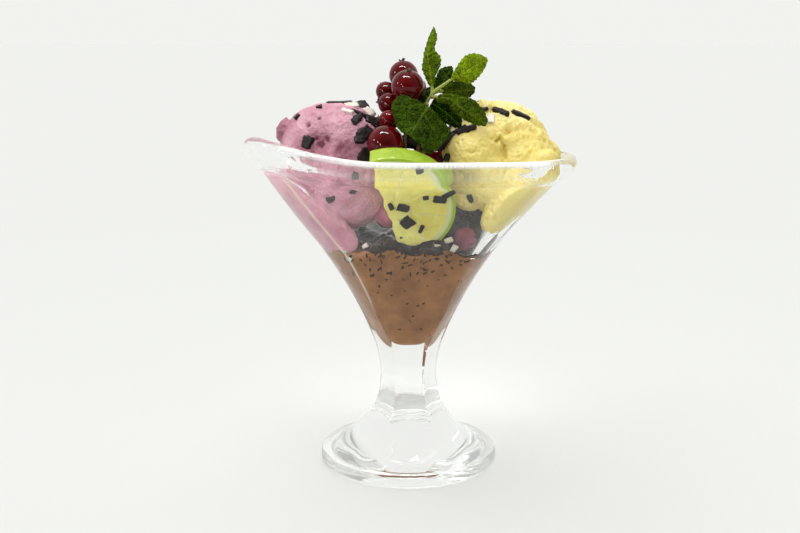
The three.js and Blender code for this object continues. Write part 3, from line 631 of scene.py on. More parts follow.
def lump(detail, seed, size, boxy, rough=0.12):
    """Points and faces of an uneven lump: a ball pulled towards a box, with crumbly sides."""
    rng = random.Random(seed)
    steps = 2 + 2 * detail
    points = []
    index = {}
    faces = []
    for axis in range(3):
        for sign in (-1, 1):
            for i in range(steps):
                for j in range(steps):
                    quad = []
                    for di, dj in ((0, 0), (1, 0), (1, 1), (0, 1)):
                        u, v = 2 * (i + di) / steps - 1, 2 * (j + dj) / steps - 1
                        p = [0.0, 0.0, 0.0]
                        p[axis] = float(sign)
                        p[(axis + 1) % 3] = u
                        p[(axis + 2) % 3] = v
                        key = tuple(round(c, 5) for c in p)
                        if key not in index:
                            index[key] = len(points)
                            points.append(p)
                        quad.append(index[key])
                    faces.append(tuple(quad if sign > 0 else reversed(quad)))
    cube = np.array(points)
    ball = cube / np.linalg.norm(cube, axis=1)[:, None]
    shape = lerp(ball, cube, boxy)
    shift = Vector((rng.uniform(-40, 40), rng.uniform(-40, 40), rng.uniform(-40, 40)))
    bumps = np.array([noise.fractal(Vector(p) * 1.3 + shift, 0.8, 2.0, 3) for p in shape])
    shape = shape * (1 + rough * bumps)[:, None]
    skew = 1 + np.outer(shape[:, 0], [0, rng.uniform(-0.25, 0.25), rng.uniform(-0.2, 0.2)])
    return shape * skew * (np.array(size) / 2), faces


class Heap:
    """Many small pieces of one kind, gathered into one mesh."""

    def __init__(self):
        self.points = []
        self.faces = []
        self.count = 0

    def put(self, shape, place, turn):
        points, faces = shape
        turned = np.array([turn @ Vector(p) for p in points]) + np.array(place)
        self.points.append(turned)
        self.faces += [tuple(i + self.count for i in face) for face in faces]
        self.count += len(points)

    def finish(self, name, material):
        made = add_mesh(name, np.concatenate(self.points), self.faces, material)
        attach(made, "root")
        return made


def chocolate(name, colour, roughness):
    """Dark chocolate: nearly black, waxy, with dull rubbed patches."""
    material, shader = made_material(name)
    rubbed = tuple(1.7 * c for c in colour)
    tone = ramp(material, object_noise(material, 700, 4), [(0.35, colour), (0.7, rubbed)])
    wire(material, tone, shader.inputs["Base Color"])
    gloss = ramp(material, object_noise(material, 450, 3),
                 [(0.3, (roughness,) * 3), (0.7, (roughness + 0.25,) * 3)])
    wire(material, gloss, shader.inputs["Roughness"])
    set_look(shader, Specular_IOR_Level=0.22)
    relief(material, shader, object_noise(material, 2200, 4), 0.3, 0.00025)
    return material


speck_material = chocolate("chocolate_speck", (0.05, 0.022, 0.009), 0.5)
specks = Heap()
dice = random.Random(11)
for i in range(SPECK_COUNT):
    near_top = i < SPECKS_NEAR_TOP * SPECK_COUNT
    bearing = dice.uniform(-math.pi, math.pi) if i % 3 else dice.uniform(-0.7, 0.7)
    z = BASE_LEVEL - (dice.random() ** 1.8 * 9 + 0.8 if near_top else dice.uniform(4, 36))
    reach = float(wall_radius(np.array([bearing]), np.array([z]))[0]) + BASE_INTO_WALL - 0.12
    outward = Vector((math.sin(bearing), -math.cos(bearing), -0.55)).normalized()
    length = dice.uniform(1.0, 3.0) if near_top else dice.uniform(0.5, 1.6)
    size = (length, dice.uniform(0.5, 1.0), 0.6)
    turn = facing(outward, dice.gauss(40, 30))
    place = (reach * math.sin(bearing), -reach * math.cos(bearing), z)
    specks.put(lump(0, i, size, 0.3), place, turn)
specks.finish("chocolate_specks", speck_material)

# Dark sauce. A glossy pool of chocolate sauce runs over the base between the scoops, heaped
# with short rods of dark chocolate and a few pale chips of nut.

SAUCE_DEPTH = 3
SAUCE_HEAP = 2.4
HEAP_PLACE = (2, -6)
MOUND_HEIGHT = 14.2
MOUND_PLACE = (20, -13)
CURRANT_DENT = 17
CURRANT_DENT_PLACE = (21.4, -24)
SAUCE_REACH = 24
SAUCE_INTO_WALL = 0.12
ROD_COUNT = 140
RODS_IN_POOL = 90
HEAPED_RODS = 42


def sauce_top(x, y):
    heap = SAUCE_HEAP * np.exp(-((x - HEAP_PLACE[0]) ** 2 + (y - HEAP_PLACE[1]) ** 2) / 160)
    heap = heap + MOUND_HEIGHT * np.exp(-((x - MOUND_PLACE[0]) ** 2 + (y - MOUND_PLACE[1]) ** 2) / 130)
    heap = heap + 0.5 * np.sin(x / 3.7 + 1) * np.cos(y / 4.4 + 0.5)
    dent_x, dent_y = x - CURRANT_DENT_PLACE[0], y - CURRANT_DENT_PLACE[1]
    beside_currant = CURRANT_DENT * np.exp(-(dent_x / 7.2) ** 6 - (dent_y / 10.4) ** 8)
    return base_top(x, y) + np.maximum(SAUCE_DEPTH + heap - beside_currant, 0.3)


def sauce_edge(bearings):
    """The sauce stops short of the left corner, and a little short of the right one."""
    edge = np.full(len(bearings), NO_LIMIT)
    for corner, reach in ((-60, SAUCE_REACH), (60, SAUCE_REACH + 7)):
        away = np.maximum(np.cos(bearings - math.radians(PLAN_TURN + corner)), 0.05)
        edge = np.minimum(edge, reach / away)
    return edge


sauce_material, sauce_shader = made_material("chocolate_sauce")
sauce_tone = ramp(sauce_material, object_noise(sauce_material, 260, 4),
                  [(0.35, (0.012, 0.006, 0.004)), (0.68, (0.062, 0.036, 0.028))])
wire(sauce_material, sauce_tone, sauce_shader.inputs["Base Color"])
set_look(sauce_shader, Roughness=0.2, Specular_IOR_Level=0.4)
relief(sauce_material, sauce_shader, object_noise(sauce_material, 300, 4), 0.4, 0.0008)
sauce_points, sauce_faces = filling(sauce_top, lambda x, y: base_top(x, y) - 1.2, SAUCE_INTO_WALL,
                                    sauce_edge, wall_rows=10)
on_top = sauce_points[:, 2] > base_top(sauce_points[:, 0], sauce_points[:, 1]) + 1
sauce_points[:, 2] += np.where(on_top, 0.6 * noise_at(sauce_points, 3.1, 5), 0)
sauce = add_mesh("chocolate_sauce_pool", sauce_points, sauce_faces, sauce_material)
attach(sauce, "root")
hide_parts("dark_sauce")

flake_material = chocolate("dark_chocolate_look", (0.014, 0.01, 0.009), 0.3)
rods = Heap()
dice = random.Random(23)
for i in range(ROD_COUNT):
    in_pool = i < RODS_IN_POOL
    x, y = (dice.gauss(11, 8), dice.gauss(-14, 7)) if in_pool else (dice.gauss(19, 5), dice.gauss(-11, 4))
    r = math.hypot(x, y)
    z = float(sauce_top(np.array(x), np.array(y)))
    limit = float(wall_radius(np.array([math.atan2(x, -y)]), np.array([z]))[0]) - 1.2
    if r > limit:
        x, y = x * limit / r, y * limit / r
    size = (dice.uniform(2, 4.6), dice.uniform(0.8, 1.5), dice.uniform(0.7, 1.2))
    tilt = Quaternion((dice.uniform(-1, 1), dice.uniform(-1, 1), 0.2), dice.uniform(0.1, 1.0))
    turn = tilt @ Quaternion((0, 0, 1), dice.uniform(0, math.pi))
    rods.put(lump(1, 200 + i, size, 0.65), (x, y, z + dice.uniform(0, 1.6 if in_pool else 3)), turn)
for i in range(HEAPED_RODS):
    if i % 3:
        x, z = dice.gauss(18, 1.7), dice.uniform(103, 107.5)
    else:
        x, z = dice.gauss(25.6, 1.6), dice.uniform(99, 102.4)
    size = (dice.uniform(2.6, 4.6), dice.uniform(1, 1.6), dice.uniform(0.9, 1.3))
    tilt = Quaternion((0, 1, 0), dice.uniform(-0.9, 0.9)) @ Quaternion((0, 0, 1), dice.uniform(-0.7, 0.7))
    rods.put(lump(1, 1200 + i, size, 0.65), (x, dice.uniform(-16, -12), z), tilt)
rods.finish("chocolate_rods", flake_material)

nut_material, nut_shader = made_material("pale_nut")
nut_tone = ramp(nut_material, object_noise(nut_material, 500, 4),
                [(0.3, (0.78, 0.7, 0.56)), (0.7, (0.9, 0.86, 0.78))])
wire(nut_material, nut_tone, nut_shader.inputs["Base Color"])
set_look(nut_shader, Roughness=0.5, Subsurface_Weight=0.1, Subsurface_Scale=0.001)
relief(nut_material, nut_shader, object_noise(nut_material, 1200, 4), 0.4, 0.0003)
nut_chips = Heap()
for i, (place, size, turn) in enumerate((
    ((14.4, -24.6, 92.2), (3, 2, 1.4), 30),
    ((16.4, -23.4, 88.8), (3.2, 2.2, 1.6), 70),
    ((10.4, -22.4, 90.6), (2.6, 1.6, 1.2), 10),
    ((-15.8, -22, 89.8), (2.2, 1.5, 1.1), 40),
    ((2.5, 12, 92), (2.4, 1.8, 1.3), 0),
    ((-6, 20, 91.6), (2.8, 1.7, 1.2), 120),
)):
    nut_chips.put(lump(1, 400 + i, size, 0.7, 0.16), place, facing((0.2, -0.8, 0.4), turn))
nut_chips.finish("nut_chips", nut_material)

# Lime. A slice cut across the fruit and once more straight down, leaning on the front wall:
# shiny green rind with oil pores, a pale ring of pith, and wet flesh in wedges.

LIME_RADIUS = 21.8
LIME_THICKNESS = 6.4
LIME_CENTRE = (-5.2, -30.9, 104.3)
LIME_TILT = 30
LIME_CUT_OFFSET = -2.6
LIME_CUT_ANGLE = 15
RIND_ENDS = (0.8, 1.7)
PITH = 2.9
PITH_ENDS = (2.6, 3.4)
EDGE_SPAN = 10.0
LIME_WEDGES = 9
LIME_COLUMNS = 150
LIME_RINGS = 46
LIME_CUT_STEPS = 60
LIME_HEART = (4.2, 1.2)
lime_frame = Matrix.Translation(LIME_CENTRE) @ Matrix.Rotation(math.radians(90 + LIME_TILT), 4, "X")


def lime_point(u, v, w):
    return tuple(lime_frame @ Vector((u, v, w)))


cut_middle = math.radians(LIME_CUT_ANGLE)
cut_half = math.acos(LIME_CUT_OFFSET / LIME_RADIUS)
lime_outline = []
for i in range(LIME_COLUMNS):
    angle = cut_middle - cut_half + 2 * cut_half * i / (LIME_COLUMNS - 1)
    lime_outline.append((LIME_RADIUS * math.cos(angle), LIME_RADIUS * math.sin(angle)))
cut_start, cut_end = lime_outline[-1], lime_outline[0]
for i in range(1, LIME_CUT_STEPS):
    share = i / LIME_CUT_STEPS
    wobble = 0.35 * math.sin(share * 23) + 0.2 * math.sin(share * 51 + 1)
    lime_outline.append((lerp(cut_start[0], cut_end[0], share) + wobble * math.cos(cut_middle),
                         lerp(cut_start[1], cut_end[1], share) + wobble * math.sin(cut_middle)))
lime_points, lime_faces, lime_edge, lime_angle = [], [], [], []
outline_count = len(lime_outline)


def lime_marks(u, v):
    reach = math.hypot(u, v)
    return LIME_RADIUS - reach, math.atan2(v + 1.0, u + 1.5)


def lime_face_ring(share, w):
    for u0, v0 in lime_outline:
        u = lerp(LIME_HEART[0], u0, share)
        v = lerp(LIME_HEART[1], v0, share)
        edge, angle = lime_marks(u, v)
        wedge = abs(math.sin(angle * LIME_WEDGES / 2 + 0.4))
        flesh = min(max((edge - PITH) / 1.5, 0), 1)
        lumps = noise.noise(Vector((u * 0.9, v * 0.9, w))) * 0.22
        sink = flesh * (0.35 * (1 - min(wedge * 4, 1)) - lumps)
        lime_points.append(lime_point(u, v, w - math.copysign(sink, w + LIME_THICKNESS / 2)))
        lime_edge.append(edge)
        lime_angle.append(angle)


for step in range(1, LIME_RINGS + 1):
    lime_face_ring(step / LIME_RINGS * 0.995, 0)
for drop in (0.25, 1.2, 2.6, 4, 5.2, LIME_THICKNESS - 0.25):
    for u0, v0 in lime_outline:
        lime_points.append(lime_point(u0, v0, -drop))
        edge, angle = lime_marks(u0, v0)
        lime_edge.append(edge)
        lime_angle.append(angle)
for step in range(LIME_RINGS, 0, -1):
    lime_face_ring(step / LIME_RINGS * 0.995, -LIME_THICKNESS)
for j in range(len(lime_points) // outline_count - 1):
    for i in range(outline_count):
        k = (i + 1) % outline_count
        lime_faces.append((j * outline_count + i, (j + 1) * outline_count + i,
                           (j + 1) * outline_count + k, j * outline_count + k))
lime_faces.append(tuple(range(outline_count)))
lime_faces.append(tuple(reversed(range(len(lime_points) - outline_count, len(lime_points)))))

lime_material, lime_shader = made_material("lime_look")
edge_mark = mark(lime_material, "edge")
angle_mark = mark(lime_material, "turn")
flesh_tone = ramp(lime_material, object_noise(lime_material, 300, 5, 0.6),
                  [(0.3, (0.9, 0.78, 0.13)), (0.7, (1.0, 0.94, 0.26))])
wedge_wave = add_node(lime_material, "Math", operation="MULTIPLY_ADD")
wedge_wave.inputs[1].default_value = LIME_WEDGES / 2
wedge_wave.inputs[2].default_value = 0.4
wire(lime_material, angle_mark, wedge_wave.inputs[0])
wedge_sine = add_node(lime_material, "Math", operation="SINE")
wire(lime_material, wedge_wave.outputs[0], wedge_sine.inputs[0])
wedge_line = add_node(lime_material, "Math", operation="ABSOLUTE")
wire(lime_material, wedge_sine.outputs[0], wedge_line.inputs[0])
membrane = ramp(lime_material, wedge_line.outputs[0], [(0.02, (1, 1, 1)), (0.09, (0, 0, 0))])
flesh_tone = blend_colour(lime_material, membrane, flesh_tone, (0.86, 0.82, 0.36))
edge_scale = add_node(lime_material, "Math", operation="DIVIDE")
edge_scale.inputs[1].default_value = EDGE_SPAN
wire(lime_material, edge_mark, edge_scale.inputs[0])


def within(ends):
    """1 from the skin inwards, fading to 0 between two depths."""
    return ramp(lime_material, edge_scale.outputs[0],
                [(ends[0] / EDGE_SPAN, (1, 1, 1)), (ends[1] / EDGE_SPAN, (0, 0, 0))])


pith_share = within(PITH_ENDS)
lime_tone = blend_colour(lime_material, pith_share, flesh_tone, (0.80, 0.83, 0.44))
rind_share = within(RIND_ENDS)
rind_tone = ramp(lime_material, object_noise(lime_material, 160, 3),
                 [(0.3, (0.30, 0.46, 0.015)), (0.7, (0.42, 0.58, 0.03))])
lime_tone = blend_colour(lime_material, rind_share, lime_tone, rind_tone)
wire(lime_material, lime_tone, lime_shader.inputs["Base Color"])
set_look(lime_shader, Roughness=0.28, Subsurface_Weight=0.5, Subsurface_Radius=(1.0, 1.0, 0.3),
         Subsurface_Scale=0.005)
relief(lime_material, lime_shader, object_cells(lime_material, 520), 0.35, 0.0006)
lime = add_mesh("lime_cut_slice", lime_points, lime_faces, lime_material,
                {"edge": lime_edge, "turn": lime_angle})
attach(lime, "root")
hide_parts("lime_slice")

lime_chips = Heap()
for i, (u, v, turn, length, width) in enumerate((
    (8.8, 17.4, 20, 2.8, 2.4),
    (11.2, 5.5, 10, 2, 1.6),
    (-1, 1.8, -65, 2.9, 1.7),
    (3.3, 1.2, -15, 4.2, 3),
    (4.7, -5.5, 42, 4.8, 4.4),
    (9.7, -8.5, 70, 3.4, 1.4),
    (16.2, 4.6, -10, 4.6, 2.8),
    (19.2, 7, 34, 5, 2),
)):
    spin = lime_frame.to_quaternion() @ Quaternion((0, 0, 1), math.radians(turn))
    lime_chips.put(lump(2, 500 + i, (length, width, 1.3), 0.75, 0.16), lime_point(u, v, 0.35), spin)
lime_chips.finish("lime_chocolate_chips", flake_material)

# Berry ice cream. A soft ball set in the left of the bowl, with a lobe packed into the corner,
# a tongue smeared down the front wall and a drip at its left edge; chips of dark chocolate and
# pale flakes are pressed into its top.

BERRY_CENTRE = (-25.2, -8, 115.8)
BERRY_RADII = (21.8, 22.5, 23.4)
BERRY_INTO_WALL = 0.22
SCOOP_GRAIN = 0.45


def direction(bearing, rise):
    b, r = math.radians(bearing), math.radians(rise)
    return Vector((math.sin(b) * math.cos(r), -math.cos(b) * math.cos(r), math.sin(r)))


BERRY_FORMS = (
    ((-18, 34), 0.22, -2.6),
    ((-88, 42), 0.5, 3.0),
    ((-26, 12), 0.26, -3.6),
    ((12, 14), 0.24, -2.6),
    ((-30, 60), 0.35, 0.7),
)
BERRY_LOBES = (
    ((-53, -30, 119), (-25, -14, 88), 24, 18),
    ((-46, -30, 112), (-19, -21.5, 89), 13, 10),
    ((-44.4, -9, 134.6), (-48.2, -10, 125.6), 4.4, 4),
)
# Spots of painted shade on the berry scoop, by (bearing, rise), spread and share; the pits below get it
# too.
BERRY_PAINTED_SHADE = (
    ((-24, 6), 0.5, 0.85),
    ((12, 8), 0.5, 0.85),
    ((-18, 33), 0.3, 0.95),
    ((8, 26), 0.3, 0.9),
    ((-42, 24), 0.26, 0.7),
    ((-26, 52), 0.3, 0.35),
    ((30, 36), 0.3, 0.5),
    ((-86, 34), 0.3, 0.9),
)
BERRY_PITS = (
    ((-20, 31), 0.06, 2.0),
    ((-12, 36), 0.04, 1.6),
    ((-26, 36), 0.03, 1.2),
    ((-40, 46), 0.035, 1.4),
    ((-28, 54), 0.03, 1.2),
)


def off_way(ways, bearing, rise):
    """Angle between each way and one bearing and rise."""
    return np.arccos(np.clip(ways @ np.array(direction(bearing, rise)), -1, 1))


def ways_from(points, centre):
    ways = points - np.array(centre)
    return ways / np.linalg.norm(ways, axis=1)[:, None]


def scoop_radii(ways, radii, forms):
    """Reach of a scoop along each way from its middle."""
    plain = 1 / np.linalg.norm(ways / np.array(radii), axis=1)
    for (bearing, rise), spread, height in forms:
        plain = plain + height * np.exp(-(off_way(ways, bearing, rise) / spread) ** 2)
    return plain


def ball_points(subdivisions):
    made = bpy.data.meshes.new("ball")
    shape = bmesh.new()
    bmesh.ops.create_icosphere(shape, subdivisions=subdivisions, radius=1)
    shape.to_mesh(made)
    shape.free()
    points = np.array([v.co for v in made.vertices])
    faces = [tuple(p.vertices) for p in made.polygons]
    bpy.data.meshes.remove(made)
    return points / np.linalg.norm(points, axis=1)[:, None], faces


def lobe(start, end, width, depth):
    """A rounded lobe from one point to another."""
    start, end = Vector(start), Vector(end)
    middle = start.lerp(end, 0.5)
    along = (end - start).normalized()
    across = along.cross(Vector((middle.x, middle.y, 0)).normalized()).normalized()
    through = along.cross(across)
    points, faces = ball_points(4)
    scaled = points * np.array([(end - start).length / 2, width / 2, depth / 2])
    axes = np.array([along, across, through])
    return scaled @ axes + np.array(middle), faces


def merged(shapes, grain, smoothing):
    """One skin round overlapping shapes, with the creases between them eased."""
    points, faces, count = [], [], 0
    for shape_points, shape_faces in shapes:
        points.append(shape_points)
        faces += [tuple(i + count for i in face) for face in shape_faces]
        count += len(shape_points)
    rough = add_mesh("rough", np.concatenate(points), faces, chocolate_material)
    skin = rough.modifiers.new("skin", "REMESH")
    skin.mode = "VOXEL"
    skin.voxel_size = grain * MM
    ease = rough.modifiers.new("ease", "SMOOTH")
    ease.factor = 0.5
    ease.iterations = smoothing
    graph = bpy.context.evaluated_depsgraph_get()
    ready = bpy.data.meshes.new_from_object(rough.evaluated_get(graph))
    made_points = np.array([v.co for v in ready.vertices]) / MM
    normals = np.array([n.vector for n in ready.vertex_normals])
    made_faces = [tuple(p.vertices) for p in ready.polygons]
    bpy.data.objects.remove(rough)
    bpy.data.meshes.remove(ready)
    return made_points, normals, made_faces


def held_in_bowl(points, into_wall):
    """The points, drawn in where they would pass through the wall."""
    bearing = bearing_of(points)
    radius = np.hypot(points[:, 0], points[:, 1])
    limit = wall_radius(bearing, points[:, 2]) + into_wall
    share = np.minimum(1, limit / np.maximum(radius, 1e-6))
    kept = points.copy()
    kept[:, :2] *= share[:, None]
    return kept, share < 1


def crumble(points, seed, size, sharp):
    """Height of broken, folded ice cream, from soft (0) to sharp (1)."""
    out = []
    shift = Vector((seed * 3.1, seed * 7.7, seed * 1.9))
    for p in points:
        q = Vector(p) / size + shift
        soft = noise.fractal(q, 0.8, 2.0, 4)
        ridged = 1 - 2 * abs(noise.fractal(q * 0.8 + Vector((9, 4, 2)), 0.8, 2.0, 4))
        out.append(lerp(soft, ridged, sharp))
    return np.array(out)


ball, ball_faces = ball_points(6)
berry_ball = ball * scoop_radii(ball, BERRY_RADII, BERRY_FORMS)[:, None] + np.array(BERRY_CENTRE)
berry_shapes = [(berry_ball, ball_faces)] + [lobe(*line) for line in BERRY_LOBES]
berry_points, berry_normals, berry_faces = merged(berry_shapes, SCOOP_GRAIN, 6)
berry_points, on_wall = held_in_bowl(berry_points, BERRY_INTO_WALL)
berry_relief = (0.7 * crumble(berry_points, 1, 8, 0) + 0.3 * crumble(berry_points, 2, 3.4, 0)
                + 0.14 * crumble(berry_points, 10, 1.3, 0.3))
berry_ways = ways_from(berry_points, BERRY_CENTRE)
# Painted shade: a deeper pink laid into the spots above and into the pits.
berry_painted_shade = np.zeros(len(berry_points))
for (bearing, rise), spread, share in BERRY_PAINTED_SHADE:
    spot = share * np.exp(-(off_way(berry_ways, bearing, rise) / spread) ** 2)
    berry_painted_shade = np.maximum(berry_painted_shade, spot)
for (bearing, rise), spread, depth in BERRY_PITS:
    hole = np.exp(-(off_way(berry_ways, bearing, rise) / spread) ** 4)
    berry_relief = berry_relief - depth * hole
    berry_painted_shade = np.maximum(berry_painted_shade, hole)
off_wall = np.where(on_wall, 0.0, 1.0)
berry_painted_shade *= off_wall * (0.8 + 0.3 * crumble(berry_points, 4, 3, 0.2))
berry_points = berry_points + berry_normals * (berry_relief * off_wall)[:, None]
berry_points, _ = held_in_bowl(berry_points, BERRY_INTO_WALL)
# The fourth colour is the deeper pink of the painted shade.
berry_material = creamy("berry_ice_cream_look", (0.79, 0.44, 0.53), (0.62, 0.26, 0.35), (0.5, 0.1, 0.17),
                        (0.26, 0.06, 0.105), roughness=0.45, grain=0.6)
berry = add_mesh("berry_scoop", berry_points, berry_faces, berry_material,
                 {"painted_shade": np.clip(berry_painted_shade, 0, 1)})
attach(berry, "root")
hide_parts("berry_ice_cream")


def put_topping(heap, skin, centre, bearing, rise, turn, size, stand, seed, boxy=0.7, sink=0.2,
                rough=0.3):
    """A small topping laid on the skin of a scoop, by bearing and rise from its middle."""
    way = direction(bearing, rise)
    from_middle = skin - np.array(centre)
    reaches = np.linalg.norm(from_middle, axis=1)
    near = (from_middle / reaches[:, None]) @ np.array(way) > 0.9985
    reach = float(reaches[near].mean())
    place = Vector(centre) + way * (reach + size[2] * sink)
    spin = (Vector((0, 0, 1)).rotation_difference(way) @ Quaternion((1, 0, 0), math.radians(stand))
            @ Quaternion((0, 0, 1), math.radians(turn)))
    heap.put(lump(2, seed, size, boxy, rough), place, spin)


berry_chips = Heap()
for i, (bearing, rise, turn, size, stand) in enumerate((
    (170, 86, 6, (9.8, 3.2, 1.2), 10),
    (96, 70, 45, (5.2, 5.2, 1.8), 58),
    (28, 53, 65, (4.6, 2.4, 1.6), 0),
    (42, 62, -10, (6, 1.4, 1.2), 0),
    (34, 57, 40, (3.6, 1.6, 1.4), 20),
    (56, 50, 12, (6, 4, 1.9), 15),
    (60, 42, 60, (4, 2.6, 1.6), 0),
    (32, 38, 66, (6.4, 4, 2), 10),
    (24, 32, 20, (3.6, 2.6, 1.6), 0),
    (-34, 30, 45, (4.6, 3.6, 2), 20),
    (-62, 49, 20, (2.4, 2, 1.3), 0),
    (-44, 66, 0, (2.2, 2, 1.2), 0),
    (27, 18, 80, (5, 3.6, 2), 20),
    (34, 12, 30, (4.4, 3, 1.8), 0),
    (15, -12, 80, (3, 2, 1.2), 0),
    (-6, -21, 20, (3.2, 2, 1.2), 0),
)):
    put_topping(berry_chips, berry_points, BERRY_CENTRE, bearing, rise, turn, size, stand, 600 + i)
berry_chips.finish("berry_chocolate_chips", flake_material)

berry_flakes = Heap()
for i, (bearing, rise, turn, size, stand) in enumerate((
    (66, 78, 25, (5, 3, 1), 20),
    (80, 62, -20, (4.2, 3.8, 1), 25),
    (18, 64, -15, (4.2, 2, 0.9), 0),
)):
    put_topping(berry_flakes, berry_points, BERRY_CENTRE, bearing, rise, turn, size, stand, 640 + i)
berry_flakes.finish("berry_pale_flakes", nut_material)

# Yellow ice cream. A firmer ball in the right of the bowl, torn by the scoop into domes, folds
# and ledges, with a lobe pressed down the wall, short strands of dark chocolate and one pale
# flake. More strands are jammed between the two balls.

YELLOW_CENTRE = (33.4, -9, 119.6)
YELLOW_RADII = (20.8, 21.5, 21)
YELLOW_INTO_WALL = 0.06
YELLOW_DOMES = (
    ((23.4, -15.2, 121), (11.8, 15, 13)),
    ((40.8, -17.6, 118.6), (11.6, 14, 11.8)),
    ((34.5, -20.5, 129), (7.5, 6, 5)),
    ((22.3, -14, 107.4), (7.5, 7, 6.5)),
)
YELLOW_LOBE = ((50.2, -31.2, 124.5), (27, -20.5, 95.3), 12.4, 12)
YELLOW_FORMS = (
    ((-1, 12), 0.2, -3.4),
    ((6, 34), 0.16, -1.2),
    ((30, 38), 0.16, -1.0),
    ((84, 4), 0.2, 1.4),
    ((86, 32), 0.3, -3.2),
    ((-42, 66), 0.12, 2.2),
    ((-20, 60), 0.13, -1.1),
    ((45, 62), 0.35, -3.2),
    ((75, 45), 0.3, -2.4),
)
YELLOW_FOLDS = (
    ((31.3, 127.6), (32.2, 128.7), (33.6, 125.6), (33.9, 122), 1.7, 0.6),
    ((32.4, 128.8), (36.2, 131.2), (41, 131.6), (45.6, 130.4), 1.3, 0.8),
    ((20.5, 124.2), (22, 123.6), (23.6, 124.4), (24.6, 124), 0.9, 0.45),
)
YELLOW_TORN = (
    ((-2, 26), 0.16),
    ((10, 40), 0.24),
    ((36, 44), 0.24),
    ((68, 34), 0.34),
    ((76, 10), 0.3),
    ((-40, 62), 0.3),
    ((120, 40), 0.5),
)
TORN_HEIGHT = 1.6
# Heights of the painted shade on the yellow ball: it fades out between 128 and 136 and is weaker below 110
# to 116.
YELLOW_SHADE_END = (128, 136)
YELLOW_SHADE_START = (110, 116)
JAMMED_STRANDS = 36


def pits(points, seed, size, depth, rarity):
    """Scattered round holes, sunk by depth."""
    out = []
    shift = Vector((seed * 2.3, seed * 1.1, seed * 5.3))
    for p in points:
        distances, cells = noise.voronoi(Vector(p) / size + shift)
        chance = noise.cell(cells[0] * 13.7)
        sunk = max(0.0, 1 - (distances[0] / 0.42) ** 2) if chance < rarity else 0.0
        out.append(-depth * sunk)
    return np.array(out)


yellow_ball = ball * scoop_radii(ball, YELLOW_RADII, YELLOW_FORMS)[:, None] + np.array(YELLOW_CENTRE)
yellow_shapes = [(yellow_ball, ball_faces)]
for centre, radii in YELLOW_DOMES:
    yellow_shapes.append((ball * np.array(radii) + np.array(centre), ball_faces))
yellow_shapes.append(lobe(*YELLOW_LOBE))
yellow_points, yellow_normals, yellow_faces = merged(yellow_shapes, SCOOP_GRAIN, 3)
yellow_points, on_wall = held_in_bowl(yellow_points, YELLOW_INTO_WALL)
yellow_ways = ways_from(yellow_points, YELLOW_CENTRE)
torn = np.zeros(len(yellow_points))
for (bearing, rise), spread in YELLOW_TORN:
    torn = np.maximum(torn, np.exp(-(off_way(yellow_ways, bearing, rise) / spread) ** 2))
for *line, depth, width in YELLOW_FOLDS:
    near_fold = np.full(len(yellow_points), 99.0)
    seen = yellow_points[:, (0, 2)]
    for a, b in zip(np.array(line), np.array(line[1:])):
        share = np.clip((seen - a) @ (b - a) / ((b - a) @ (b - a)), 0, 1)
        to_line = np.linalg.norm(seen - a - share[:, None] * (b - a), axis=1)
        near_fold = np.minimum(near_fold, to_line)
    groove = depth * np.exp(-(near_fold / width) ** 2) * (yellow_points[:, 1] < -16)
    yellow_points = yellow_points - yellow_normals * groove[:, None]
off_wall = np.where(on_wall, 0.0, 1.0)
# Painted shade: the lower part of the ball, off the wall, is painted a deeper orange yellow than its lit
# top.
yellow_shade = (1 - smoothstep(yellow_points[:, 2], *YELLOW_SHADE_END)) * off_wall
yellow_shade *= 0.4 + 0.4 * smoothstep(yellow_points[:, 2], *YELLOW_SHADE_START)
yellow_shade *= 0.85 + 0.3 * crumble(yellow_points, 8, 6, 0)
yellow_relief = (0.45 * crumble(yellow_points, 5, 8, 0.3)
                 + TORN_HEIGHT * torn * crumble(yellow_points, 6, 3.6, 0.85)
                 + 0.12 * crumble(yellow_points, 9, 1.6, 0.4)
                 + pits(yellow_points, 7, 2.2, 0.6, 0.04))
yellow_points = yellow_points + yellow_normals * (yellow_relief * off_wall)[:, None]
yellow_points, _ = held_in_bowl(yellow_points, YELLOW_INTO_WALL)
# The fourth colour is the deeper yellow of the painted shade.
yellow_material = creamy("yellow_ice_cream_look", (1.0, 0.86, 0.36), (1.0, 0.8, 0.28),
                         (0.86, 0.56, 0.18), (0.8, 0.66, 0.17), roughness=0.42, grain=0.45,
                         scatter=0.6, reach=2.4, glow=(1.0, 0.85, 0.6))
yellow = add_mesh("yellow_scoop", yellow_points, yellow_faces, yellow_material,
                  {"painted_shade": np.clip(yellow_shade, 0, 1)})
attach(yellow, "root")
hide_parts("yellow_ice_cream")

yellow_strands = Heap()
for i, (bearing, rise, turn, size) in enumerate((
    (-78, 66, 30, (4.2, 1.6, 1.6)),
    (-35, 57, 5, (4, 1.5, 1.5)),
    (-3, 60, -38, (7.2, 2.1, 2)),
    (58, 62, 8, (7.8, 2.3, 2)),
    (-84, 6, 70, (5, 2.2, 1.8)),
    (-95, 20, 10, (6, 2, 1.8)),
    (-100, 30, 60, (6, 2, 1.8)),
    (-64, 2, 70, (3, 2, 1.4)),
    (-41, -37, 45, (3.6, 1.9, 1.9)),
)):
    put_topping(yellow_strands, yellow_points, YELLOW_CENTRE, bearing, rise, turn, size, 0,
                700 + i, 0.6, 0.15, 0.16)
for i, (place, slope, length) in enumerate((
    ((17.2, -21.8, 130.4), 30, 8.4),
    ((20.4, -24.2, 131.4), 18, 7.6),
    ((14.2, -22.2, 127.6), 44, 6.4),
    ((12.6, -21, 125), 20, 5.4),
    ((13.6, -25, 121.6), 70, 2.8),
)):
    turn = Quaternion((0, 1, 0), math.radians(-slope)) @ Quaternion((1, 0, 0), 0.4 * i)
    yellow_strands.put(lump(2, 780 + i, (length, 2.1, 1.9), 0.6, 0.16), place, turn)
dice = random.Random(91)
